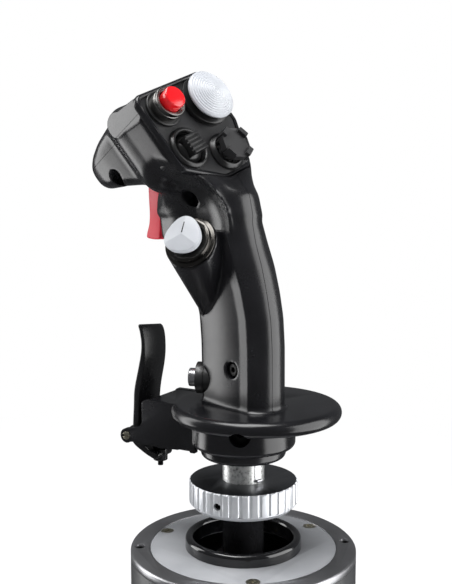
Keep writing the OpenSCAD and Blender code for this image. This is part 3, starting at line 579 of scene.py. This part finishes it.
def head_field(f):
    points = []
    for corner in FACE_CORNERS:
        points += circle_points(corner, FACE_R, HEAD_IN_GRIP, 0)
    for depth, inset in ((BLOCK_DEPTH - 6, 0), (BLOCK_DEPTH - 2.5, 1), (BLOCK_DEPTH, 4)):
        for x in (-18.5, 18.5):
            for y in (BLOCK_BOTTOM + 9, 23.5):
                points += circle_points((x, y), 8.7 - inset, HEAD_IN_GRIP, -depth)
    return soften(f.hull(points), 3)


def nose_field(f):
    u, v, w = f.local(HEAD_IN_GRIP)
    depth = -w
    half, bottom, top = (eased(depth, NOSE, c, width=4) for c in (1, 2, 3))
    corner = np.float32(7)
    middle, tall = (bottom + top) / 2, (top - bottom) / 2
    side = np.abs(u) - (half - corner)
    rise = np.abs(v - middle) - (tall - corner)
    plan = np.hypot(np.maximum(side, 0), np.maximum(rise, 0)) + np.minimum(np.maximum(side, rise), 0) - corner
    return np.maximum(smooth_max(plan, depth - 73, 6), 24 - depth)


def neck_field(f):
    level = Matrix.Identity(4)
    points = []
    for height in (NECK_LOW, HANDLE_TOP):
        shift, front, back, half = (float(eased(height, HANDLE, c)) for c in (1, 2, 3, 4))
        for x in (-1, 1):
            points += circle_points((shift + x * (half - 4), front - 4), 4, level, height)
        points += circle_points((shift, back + half), half, level, height, 32)
    for corner in [(13, -24), (-3, -24)]:
        for depth in (-1, -20):
            points += circle_points(corner, FACE_R, HEAD_IN_GRIP, depth)
    for corner in [(22, -14), (-16, -14)]:
        for depth in (-1, -20):
            points += circle_points(corner, 5, HEAD_IN_GRIP, depth)
    return soften(f.hull(points), 3)


def ball_points(centre, radius):
    points = []
    for k in range(7):
        lift = math.pi * (k / 6 - 0.5)
        ring = Matrix.Translation(centre)
        points += circle_points((0, 0), max(radius * math.cos(lift), 0.01), ring, radius * math.sin(lift), 14)
    return points


# the pod of the side selector: its flat mouth, and balls that taper down into the handle
POD_MOUTH_R, POD_MOUTH_DEPTH = 14, 3
POD_BALLS = [((-15.5, 13.5, 222), 12.5), ((-11, 15, 209), 9), ((-8.6, 16.5, 202), 6.5)]


def pod_field(f):
    points = []
    for depth in (0, -POD_MOUTH_DEPTH):
        points += circle_points((0, 0), POD_MOUTH_R, SELECTOR_IN_GRIP, depth, 36)
    for centre, radius in POD_BALLS:
        points += ball_points(centre, radius)
    return f.hull(points)


SHELF_BALLS = [((-27.3, 11.6, 270), 1.5), ((-22.7, 5, 266.6), 1.5), ((-19.4, 0.4, 262.4), 1.5),
               ((-15.6, -4.1, 251.5), 1.5), ((-13.3, -4.4, 243.2), 1), ((-17, 8, 243), 1),
               ((-15, 22, 243), 1), ((-6, 10, 244), 2), ((-6, 14, 268), 3), ((-18, 30, 264), 3)]


def shelf_field(f):
    """The thumb shelf and the ridge that runs up from it to the head."""
    points = []
    for centre, radius in SHELF_BALLS:
        points += ball_points(centre, radius)
    return f.hull(points)


# recessed shell screws: place along Y and Z, and the X of the well's floor
SCREWS = [((-5, 171), -9), ((24, 258), -9), ((65, 269), -27)]
SCREW_WELL = 4.2
# depth of the wells under the plate that the hats and the button move in
CONTROL_WELL = 5.5
# the hollow that the thumb rests in, and the height where it ends
THUMB_BOWL, THUMB_BOWL_R = (-41.2, 11, 241.9), 31.7
SHELF_Z = 241.8


def grip_field():
    f = Field()
    body = smooth_min(handle_field(f), neck_field(f), 5)
    body = smooth_min(body, head_field(f), 5)
    body = smooth_min(body, shelf_field(f), 2.5)
    bowl = np.maximum(f.sphere(THUMB_BOWL, THUMB_BOWL_R), SHELF_Z - f.z)
    ahead = np.clip((f.y - 8) / 16, 0, 1)
    body = smooth_max(body, -bowl, 1.6 + 8 * ahead)
    body = smooth_min(body, soften(nose_field(f), 4), 9)
    body = smooth_min(body, pod_field(f), 0.8)
    for (y, z), floor in SCREWS:
        well = Matrix.Translation((floor, y, z)) @ turn("Y", -90)
        body = smooth_max(body, -f.cylinder(well, SCREW_WELL, 0, 60), 0.5)
    over_plate = np.maximum(f.prism(FACE_CORNERS, FACE_R + 0.15, HEAD_IN_GRIP), -f.local(HEAD_IN_GRIP)[2])
    body = smooth_max(body, -over_plate, 0.6)
    for (x, y), radius in PLATE_HOLES:
        well = HEAD_IN_GRIP @ Matrix.Translation((x, y, 0))
        body = np.maximum(body, -f.cylinder(well, radius + 1.2, -CONTROL_WELL, 3))
    slot = np.maximum(np.abs(f.x + 3) - 6, np.maximum(np.maximum(234 - f.z, f.z - 290), 60 - f.y))
    body = smooth_max(body, -slot, 0.5)
    return body


def grip_mesh():
    field = grip_field()
    grid = openvdb.FloatGrid()
    grid.background = FAR
    grid.copyFromArray(np.ascontiguousarray(field, dtype=np.float64))
    points, triangles, quads = grid.convertToPolygons(isovalue=0.0, adaptivity=0.0)
    points = points * VOXEL + np.array(LOW)
    mesh = bpy.data.meshes.new("grip_skin")
    faces = [tuple(int(i) for i in q) for q in quads] + [tuple(int(i) for i in t) for t in triangles]
    mesh.from_pydata([tuple(p) for p in points], [], faces)
    return mesh


def cut_piece(name, skin, planes, material, nodes):
    """The part of the skin on the inner side of the planes, with its cut edges turned in."""
    bm = bmesh.new()
    bm.from_mesh(skin)
    for point, normal in planes:
        bmesh.ops.bisect_plane(bm, geom=bm.verts[:] + bm.edges[:] + bm.faces[:], plane_co=point,
                               plane_no=normal, clear_outer=True, dist=1e-4)
    loose = [v for v in bm.verts if not v.link_faces]
    bmesh.ops.delete(bm, geom=loose, context="VERTS")
    bmesh.ops.recalc_face_normals(bm, faces=bm.faces)
    rim = [e for e in bm.edges if len(e.link_faces) == 1]
    bm.normal_update()
    turned_in = {v: v.normal.copy() for e in rim for v in e.verts}
    grown = bmesh.ops.extrude_edge_only(bm, edges=rim)
    fresh = [g for g in grown["geom"] if isinstance(g, bmesh.types.BMVert)]
    near = {tuple(round(c, 4) for c in v.co): n for v, n in turned_in.items()}
    for v in fresh:
        v.co -= near[tuple(round(c, 4) for c in v.co)] * 1.3
    mark_sharp(bm, 40)
    return add_piece(name, to_mesh(bm, name, GRIP), material, "stick", nodes)


# half widths of the gap between the shells and of the gap under the hood
SEAM, HOOD_SEAM = 0.15, 0.11


def build_grip():
    skin = grip_mesh()
    hood_plane = HEAD_IN_GRIP @ Vector((0, HOOD_V, 0))
    hood_up = (HEAD_IN_GRIP.to_3x3() @ Vector((0, 1, 0))).normalized()
    below = (hood_plane - hood_up * HOOD_SEAM, hood_up)
    above = (hood_plane + hood_up * HOOD_SEAM, -hood_up)
    left = (Vector((SPLIT_X - SEAM, 0, 0)), Vector((1, 0, 0)))
    right = (Vector((SPLIT_X + SEAM, 0, 0)), Vector((-1, 0, 0)))
    cut_piece("grip_left_half", skin, [below, left], BLACK, ["grip_shell_left"])
    cut_piece("grip_right_half", skin, [below, right], BLACK, ["grip_shell_right"])
    cut_piece("head_hood_finished", skin, [above], BLACK, ["head_hood"])
    bpy.data.meshes.remove(skin)


# ---- head: plate and controls --------------------------------------------------------------

def rounded_outline(corners, radius, steps=10):
    """Outline of the hull of circles round the corners, given clockwise from the top left."""
    out = []
    count = len(corners)
    for i, corner in enumerate(corners):
        here = Vector(corner)
        before, after = Vector(corners[i - 1]), Vector(corners[(i + 1) % count])
        a = here - before
        b = after - here
        start = Vector((-a.y, a.x)).normalized()
        end = Vector((-b.y, b.x)).normalized()
        sweep = start.angle_signed(end)
        for k in range(steps + 1):
            out.append(tuple(here + Matrix.Rotation(-sweep * k / steps, 2) @ start * radius))
    return out


BORDER_TOP = FACE_T + 0.8
# holes that the controls pass through: place, radius
PLATE_HOLES = [(TRIM_AT, 6.4), (CASTLE_AT, 6.4), (BEZEL_AT, 8.8), (BUTTON_AT, 6.5)]


def build_face_plate():
    """The field that the controls stand in, with its holes, and the raised border round it."""
    bm = bmesh.new()
    rings = [rounded_outline(FACE_CORNERS, FACE_R - 2.6)]
    for (x, y), radius in PLATE_HOLES:
        rings.append([(x + radius * math.cos(a), y + radius * math.sin(a))
                      for a in (2 * math.pi * k / 48 for k in range(48))])
    edges = []
    for outline in rings:
        verts = [bm.verts.new((x, y, FACE_T)) for x, y in outline]
        edges += [bm.edges.new((a, b)) for a, b in zip(verts, verts[1:] + verts[:1])]
    filled = bmesh.ops.triangle_fill(bm, edges=edges, use_beauty=True)
    faces = [g for g in filled["geom"] if isinstance(g, bmesh.types.BMFace)]
    grown = bmesh.ops.extrude_face_region(bm, geom=faces)
    lowered = [g for g in grown["geom"] if isinstance(g, bmesh.types.BMVert)]
    bmesh.ops.translate(bm, verts=lowered, vec=(0, 0, -FACE_T))
    bmesh.ops.recalc_face_normals(bm, faces=bm.faces)
    mark_sharp(bm, 30)
    add_piece("face_field", to_mesh(bm, "face_field", HEAD), FACE_BLACK, "stick", ["face_plate"])

    profile = [(0, 0), (0, 1.5), (0.3, 2.4), (1, BORDER_TOP), (2, BORDER_TOP), (2.5, FACE_T + 0.5),
               (2.7, FACE_T - 0.3), (2.7, 0)]
    bm = bmesh.new()
    loops = []
    for inset, height in profile:
        outline = rounded_outline(FACE_CORNERS, FACE_R - inset)
        loops.append([bm.verts.new((x, y, height)) for x, y in outline])
    count = len(loops[0])
    for low, high in zip(loops, loops[1:] + loops[:1]):
        for k in range(count):
            bm.faces.new([low[k], low[(k + 1) % count], high[(k + 1) % count], high[k]])
    bmesh.ops.recalc_face_normals(bm, faces=bm.faces)
    mark_sharp(bm, 35)
    add_piece("face_border", to_mesh(bm, "face_border", HEAD), BLACK, "stick")


def build_trim_hat():
    """Domed cap with fine concentric ridges."""
    radius, base, ridges = 13.8, FACE_T + 6.3, 11
    profile = [(0, base), (radius - 1.2, base), (radius - 0.3, base + 0.5), (radius, base + 1.2),
               (radius, base + 1.9)]
    steps = 8
    for i in range(ridges * steps):
        t = i / (ridges * steps)
        r = (radius - 0.5) * (1 - t)
        wave = 0.16 * (1 - math.cos(2 * math.pi * ridges * t))
        profile.append((r, base + 2.0 + 3.7 * (1 - (r / radius) ** 2) + wave))
    profile.append((0, base + 5.7))
    lathe("trim_hat_cap", profile, on_face(TRIM_AT), HAT_WHITE, "trim_hat", ["trim_hat"], sides=160, sharp=60)


def build_thumb_dome():
    """The ball-shaped skirt of the ribbed hat, centred on its pivot."""
    radius, pivot, low = 8.6, -2, 1.4
    profile = [(math.sqrt((radius - 1) ** 2 - (low - pivot) ** 2), low)]
    steps = 14
    start = math.asin((low - pivot) / radius)
    for k in range(steps + 1):
        a = start + (math.pi / 2 - start) * k / steps
        profile.append((radius * math.cos(a), pivot + radius * math.sin(a)))
    profile.append((0, pivot + radius - 1))
    lathe("thumb_dome", profile, on_face(BEZEL_AT), HAT_BLACK, "thumb_hat", sides=96)


def build_red_button():
    radius, shoulder, rounding, dome = 5.9, 11.9, 0.9, 0.5
    cap = [(0, 0), (radius - 0.5, 0), (radius, 0.5)]
    for k in range(9):
        a = math.pi / 2 * k / 8
        cap.append((radius - rounding * (1 - math.cos(a)), shoulder + rounding * math.sin(a)))
    for k in range(1, 9):
        r = (radius - rounding) * (1 - k / 8)
        cap.append((r, shoulder + rounding + dome * (1 - (r / (radius - rounding)) ** 2)))
    seat = on_face(BUTTON_AT) @ Matrix.Translation((0, 0, FACE_T))
    lathe("red_button_cap", cap, seat, RED, "red_button", ["red_button"])


def build_button_collar():
    base = arc_corners([(6.3, 0), (10, 0), (10, 1.6), (6.3, 1.6)], 0.5)
    seat = on_face(BUTTON_AT) @ Matrix.Translation((0, 0, FACE_T))
    lathe("button_base_ring", base, seat, HAT_BLACK, "stick")
    sleeve = arc_corners([(6.3, 1.4), (8.3, 1.4), (8.3, 5.4), (8.0, 5.6), (8.0, 6.2), (8.3, 6.4), (8.3, 8.4),
                          (7.2, 8.4), (6.9, 7.6), (6.3, 7.6)], 0.25)
    lathe("button_sleeve", sleeve, seat, COLLAR_STEEL, "stick", ["red_button_collar"])


CAP_LOW, CAP_HIGH = 7.4, 12.3
# mean radius, how far the lobes stand out, and the slope of the facets
CAP_R, CAP_LOBE, CAP_FALL = 9.7, 0.55, 0.15
# rows of the cap: inset from its outline, then height over its foot or under its sloped top
CAP_FOOT_ROWS = [(1.2, 0), (0.15, 0.8)]
CAP_TOP_ROWS = [(0, 0.8), (0.15, 0.35), (0.5, 0.08), (1, 0), (5, 0)]


def build_selector_cap():
    """Three-lobed cap whose top falls away in three facets, with a dark line along one ridge."""
    steps = 120
    foot = [[] for _ in CAP_FOOT_ROWS]
    top = [[] for _ in CAP_TOP_ROWS]
    bm = bmesh.new()
    for k in range(steps):
        a = 2 * math.pi * k / steps
        radius = CAP_R + CAP_LOBE * math.cos(3 * (a - math.pi))
        off_ridge = math.cos(math.pi / 3 - (a - math.pi) % (2 * math.pi / 3))
        for row, (inset, rise) in zip(foot, CAP_FOOT_ROWS):
            r = radius - inset
            row.append(bm.verts.new((r * math.cos(a), r * math.sin(a), CAP_LOW + rise)))
        for row, (inset, drop) in zip(top, CAP_TOP_ROWS):
            r = radius - inset
            level = CAP_HIGH - CAP_FALL * r * off_ridge - drop
            row.append(bm.verts.new((r * math.cos(a), r * math.sin(a), level)))
    rows = foot + top
    middle = bm.verts.new((0, 0, CAP_HIGH))
    for k in range(steps):
        n = (k + 1) % steps
        for lower, upper in zip(rows, rows[1:]):
            bm.faces.new([lower[k], lower[n], upper[n], upper[k]])
        bm.faces.new([rows[-1][k], rows[-1][n], middle])
    bm.faces.new(rows[0][::-1])
    bmesh.ops.recalc_face_normals(bm, faces=bm.faces)
    mark_sharp(bm, 12)
    mesh = to_mesh(bm, "selector_cap_lobed", SELECTOR)
    add_piece("selector_cap_lobed", mesh, HAT_WHITE, "selector_cap", ["selector_cap"])
    slope = math.degrees(math.atan(CAP_FALL / 2))
    lie = SELECTOR @ Matrix.Translation((0, 0, CAP_HIGH)) @ turn("Y", -slope)
    line = [(-6.6, 0.32), (-0.6, 0.32), (-0.6, -0.32), (-6.6, -0.32)]
    slab("selector_line", line, -0.3, 0.04, lie, HAT_BLACK, "selector_cap", bevel=0.03, segments=1)


# ---- trigger and brake lever ------------------------------------------------------------------

TRIGGER_W = 11
TRIGGER_PIVOT = (-3, 66.5, 281)
LEVER_W = 21.5
# the blade's slanted top edge: height over the middle, and the slant towards +X
LEVER_TOP, LEVER_SLANT = 190.6, 8
LEVER_Y, LEVER_Z = 62.7, 129.3


def side_frame(x):
    """Outline x and y stand for Y and Z, and its thickness runs along X."""
    return Matrix.Translation((x, 0, 0)) @ turn("Z", 90) @ turn("X", 90)


def build_trigger():
    outline = spline([
        (69, 284.5), (71.8, 276), (73.4, 266), (73.1, 257), (72.5, 249), (73.1, 243), (75.4, 237.2),
        (74.2, 234.9), (64, 234.8), (62.2, 238), (61.4, 250), (61.4, 262), (62.4, 276), (64.4, 285)
    ], 4)
    slab("trigger_blade", outline, -TRIGGER_W / 2, TRIGGER_W / 2, GRIP @ side_frame(TRIGGER_PIVOT[0]),
         RED_TRIGGER, "trigger", ["trigger"], bevel=1.6, segments=4)


def build_lever():
    blade = spline([
        (63.6, 128), (63, 145), (62.4, 154), (59.6, 166), (57.9, 174), (57.6, 180), (58.4, 185),
        (59.4, 188), (58.4, 188.8), (56.8, 187), (55.6, 182), (55.2, 174), (56, 166), (58.4, 154),
        (59.4, 145), (60, 128)
    ], 5)
    slab("lever_blade", blade, -LEVER_W / 2, LEVER_W / 2, side_frame(0), LEVER_BLACK, "lever",
         ["brake_lever"], bevel=0.7, segments=3, sharp=50, slant=(LEVER_TOP, LEVER_SLANT))
    arm = spline([
        (66.2, 131), (66.6, 125), (65.4, 121.6), (60, 118.2), (55.5, 116), (51, 114.6), (49.4, 116.4),
        (50.6, 118.6), (55, 119.8), (58.6, 122), (60, 126), (59.6, 131)
    ], 5)
    slab("lever_arm", arm, -LEVER_W / 2 + 3, LEVER_W / 2 - 3, side_frame(0), LEVER_BLACK, "lever", bevel=0.9,
         segments=3, sharp=50)
    bore, outer, end = 2.35, 4.1, LEVER_W / 2
    barrel = arc_corners([(bore, -end), (outer, -end), (outer, end), (bore, end)], 0.5)
    hinge = Matrix.Translation((0, LEVER_Y, LEVER_Z)) @ turn("Y", 90)
    lathe("lever_barrel", barrel, hinge, LEVER_BLACK, "lever", sides=48)
    boss = arc_corners([(1.6, 112.6), (4, 112.6), (4, 119.2), (1.6, 119.2)], 0.5)
    lathe("lever_boss", boss, Matrix.Translation((0, 52.5, 0)), LEVER_BLACK, "lever", sides=48)


# ---- base ------------------------------------------------------------------------------------

NUT_Z = 110.3
DECK_Z = 74
LIP_D, LIP_TOP = 62, 80


def build_lip():
    outer, inner = LIP_D / 2, LIP_D / 2 - 4.5
    middle = (outer + inner) / 2
    rim = (outer - inner) / 2
    profile = [(inner, DECK_Z - 2.5), (outer, DECK_Z - 2.5)]
    for k in range(15):
        a = math.pi * k / 14
        profile.append((middle + rim * math.cos(a), LIP_TOP - rim + rim * math.sin(a)))
    lathe("stick_lip_finished", profile, Matrix.Identity(4), LIP_BLACK, "base", ["stick_lip"], sides=160)


# material and edge bevel of the pieces that keep their CAD shape
FINISHES = {
    "base_plate": (PLATE_BLACK, 0.5), "rubber_feet": (RUBBER, 0.5), "base_housing": (DRUM_GREY, 0.6),
    "base_ring": (RING_STEEL, 0.4), "ring_screws": (DARK_SCREW, 0.2), "top_plate": (COVER_GREY, 0.25),
    "top_plate_screws": (BRASS_SCREW, 0.12), "housing_screws": (DARK_SCREW, 0.3),
    "cable_gland": (GLAND_BLACK, 0.4), "gimbal_cradle": (CAST, 0.6), "roll_bushes": (BRASS, 0.2),
    "roll_sensor": (BOARD, 0.1), "main_board": (BOARD, 0.1), "gimbal_frame": (CAST, 0.6),
    "roll_pins": (STEEL, 0.3), "pitch_bushes": (BRASS, 0.2), "shaft": (SHAFT_BLACK, 0.4),
    "pitch_pin": (STEEL, 0.3), "grip_stem": (GALVANISED, 0.3), "stem_key": (STEEL, 0.3),
    "lower_collar": (BLACK, 0.3), "hand_rest": (REST_BLACK, 0.5), "rest_screw": (DARK_SCREW, 0.3),
    "lever_pin": (BRASS_SCREW, 0.3), "lever_switch": (SWITCH_BLACK, 0.3), "stop_screw": (DARK_SCREW, 0.2),
    "stop_nut": (DARK_SCREW, 0.3), "ring_nut": (NUT_SILVER, 0.3), "nut_set_screw": (DARK_SCREW, 0.2),
    "shell_screws": (DARK_SCREW, 0.2), "grip_board": (BOARD, 0.1), "hat_switches": (SWITCH_BLACK, 0.2),
    "button_switches": (SWITCH_BLACK, 0.2), "trim_ring": (HAT_BLACK, 0.5), "trim_cross": (STEEL, 0.1),
    "thumb_bezel": (HAT_BLACK, 0.2), "thumb_cross": (STEEL, 0.1),
    "thumb_hat": (HAT_BLACK, 0.15), "castle_cup": (HAT_BLACK, 0.4), "castle_cross": (STEEL, 0.1),
    "castle_hat": (GREY_TOP, 0.4), "selector_ring": (CHROME, 0.35), "selector_cross": (STEEL, 0.1),
    "front_button_bezel": (KNURL, 0.6), "front_button": (STEEL, 0.5),
    "trigger_pin": (STEEL, 0.2),
}
SPRINGS = ("roll_spring", "pitch_spring", "lever_spring")


def finish_nodes():
    for node, (material, bevel) in FINISHES.items():
        refine(node, material, bevel)
    for node in SPRINGS:
        refine(node, STEEL, 0, sharp=60)
    nut = bpy.data.objects["ring_nut_finished"].data
    nut.materials.append(NUT_TOP)
    for face in nut.polygons:
        if face.normal.z > 0.9 and face.center.z > (NUT_Z - 1) * MM:
            face.material_index = 1


build_grip()
build_face_plate()
build_trim_hat()
build_thumb_dome()
build_red_button()
build_button_collar()
build_selector_cap()
build_trigger()
build_lever()
build_lip()
finish_nodes()


# ---- camera, light and floor ------------------------------------------------------------------

CAMERA_AT = Vector((-0.40616, -0.21596, 0.26325))
CAMERA_RIGHT = Vector((0.48704, -0.87338, 0))
CAMERA_UP = Vector((0.10065, 0.05613, 0.99334))
FOCAL = 36.66
# the point on the object that the soft boxes are aimed at
TARGET = Vector((0, 0.01, 0.2))


def build_camera():
    data = bpy.data.cameras.new("camera")
    data.sensor_fit = "VERTICAL"
    data.sensor_height = 24
    data.lens = FOCAL
    data.clip_start = 0.01
    camera = bpy.data.objects.new("camera", data)
    back = CAMERA_RIGHT.cross(CAMERA_UP)
    axes = Matrix((CAMERA_RIGHT, CAMERA_UP, back)).transposed().to_4x4()
    camera.matrix_world = Matrix.Translation(CAMERA_AT) @ axes
    bpy.context.scene.collection.objects.link(camera)
    bpy.context.scene.camera = camera


def soft_box(name, bearing, height, distance, width, tall, radiance):
    """An area light at a bearing from the object, clockwise from +Y, aimed at it."""
    data = bpy.data.lights.new(name, "AREA")
    data.shape = "RECTANGLE"
    data.size, data.size_y = width, tall
    data.energy = radiance * math.pi * width * tall
    lamp = bpy.data.objects.new(name, data)
    a = math.radians(bearing)
    at = Vector((math.sin(a) * distance, math.cos(a) * distance, height))
    lamp.location = at
    lamp.rotation_euler = (TARGET - at).to_track_quat("-Z", "Y").to_euler()
    bpy.context.scene.collection.objects.link(lamp)


def white_for_camera(tree, shader, white_kind, share=None):
    """Mixes plain white into what the camera itself sees of a surface or the world."""
    white = tree.nodes.new(white_kind)
    white.inputs["Strength"].default_value = 1.0
    white.inputs["Color"].default_value = (1, 1, 1, 1)
    path = tree.nodes.new("ShaderNodeLightPath")
    mix = tree.nodes.new("ShaderNodeMixShader")
    fac = path.outputs["Is Camera Ray"]
    if share:
        both = tree.nodes.new("ShaderNodeMath")
        both.operation = "MULTIPLY"
        tree.links.new(fac, both.inputs[0])
        tree.links.new(share, both.inputs[1])
        fac = both.outputs[0]
    tree.links.new(fac, mix.inputs["Fac"])
    tree.links.new(shader, mix.inputs[1])
    tree.links.new(white.outputs[0], mix.inputs[2])
    return mix.outputs[0]


def build_floor():
    """Pale floor that keeps its shadows near the object and whitens into the backdrop; the
    object's reflections pass it, down to the lower ends of the soft boxes."""
    radius = 4
    bm = bmesh.new()
    rim = [bm.verts.new((radius * math.cos(a), radius * math.sin(a), 0))
           for a in (2 * math.pi * k / 64 for k in range(64))]
    bm.faces.new(rim)
    floor = bpy.data.objects.new("floor", to_mesh(bm, "floor", scale=1))
    m = Nodes("floor_pale", Roughness=0.6)
    m.color(m.ramp(m.noise(6), [(0.3, (0.84, 0.84, 0.85)), (0.7, (0.88, 0.88, 0.89))]))
    far = m.add("ShaderNodeVectorMath", operation="LENGTH")
    m.link(m.coords, far.inputs[0])
    fade = m.spread(far.outputs["Value"], 0.55, 1.0, 0.15, 0.6)
    seen = white_for_camera(m.tree, m.shader.outputs[0], "ShaderNodeEmission", fade)
    mirrored = m.add("ShaderNodeMixShader")
    m.link(m.add("ShaderNodeLightPath").outputs["Is Glossy Ray"], mirrored.inputs["Fac"])
    m.link(seen, mirrored.inputs[1])
    m.link(m.add("ShaderNodeBsdfTransparent").outputs[0], mirrored.inputs[2])
    m.link(mirrored.outputs[0], m.tree.nodes["Material Output"].inputs["Surface"])
    floor.data.materials.append(m.material)
    bpy.context.scene.collection.objects.link(floor)


# bearing, height, distance, width, tallness, radiance
SOFT_BOXES = {
    "left_box": (-12, 0.3, 1.2, 0.5, 1.6, 4.2),
    "right_box": (164, 0.2, 1.2, 1.3, 2, 3.6),
    "top_box": (-60, 1.7, 0.3, 1.1, 1.1, 9),
}


def build_studio():
    for name, setting in SOFT_BOXES.items():
        soft_box(name, *setting)

    world = bpy.data.worlds.new("studio")
    world.use_nodes = True
    tree = world.node_tree
    background = tree.nodes["Background"]
    background.inputs["Color"].default_value = (0.95, 0.97, 1, 1)
    background.inputs["Strength"].default_value = 0.12
    seen = white_for_camera(tree, background.outputs[0], "ShaderNodeBackground")
    tree.links.new(seen, tree.nodes["World Output"].inputs["Surface"])
    bpy.context.scene.world = world
    bpy.context.scene.view_settings.view_transform = "Standard"
    build_floor()


build_camera()
build_studio()
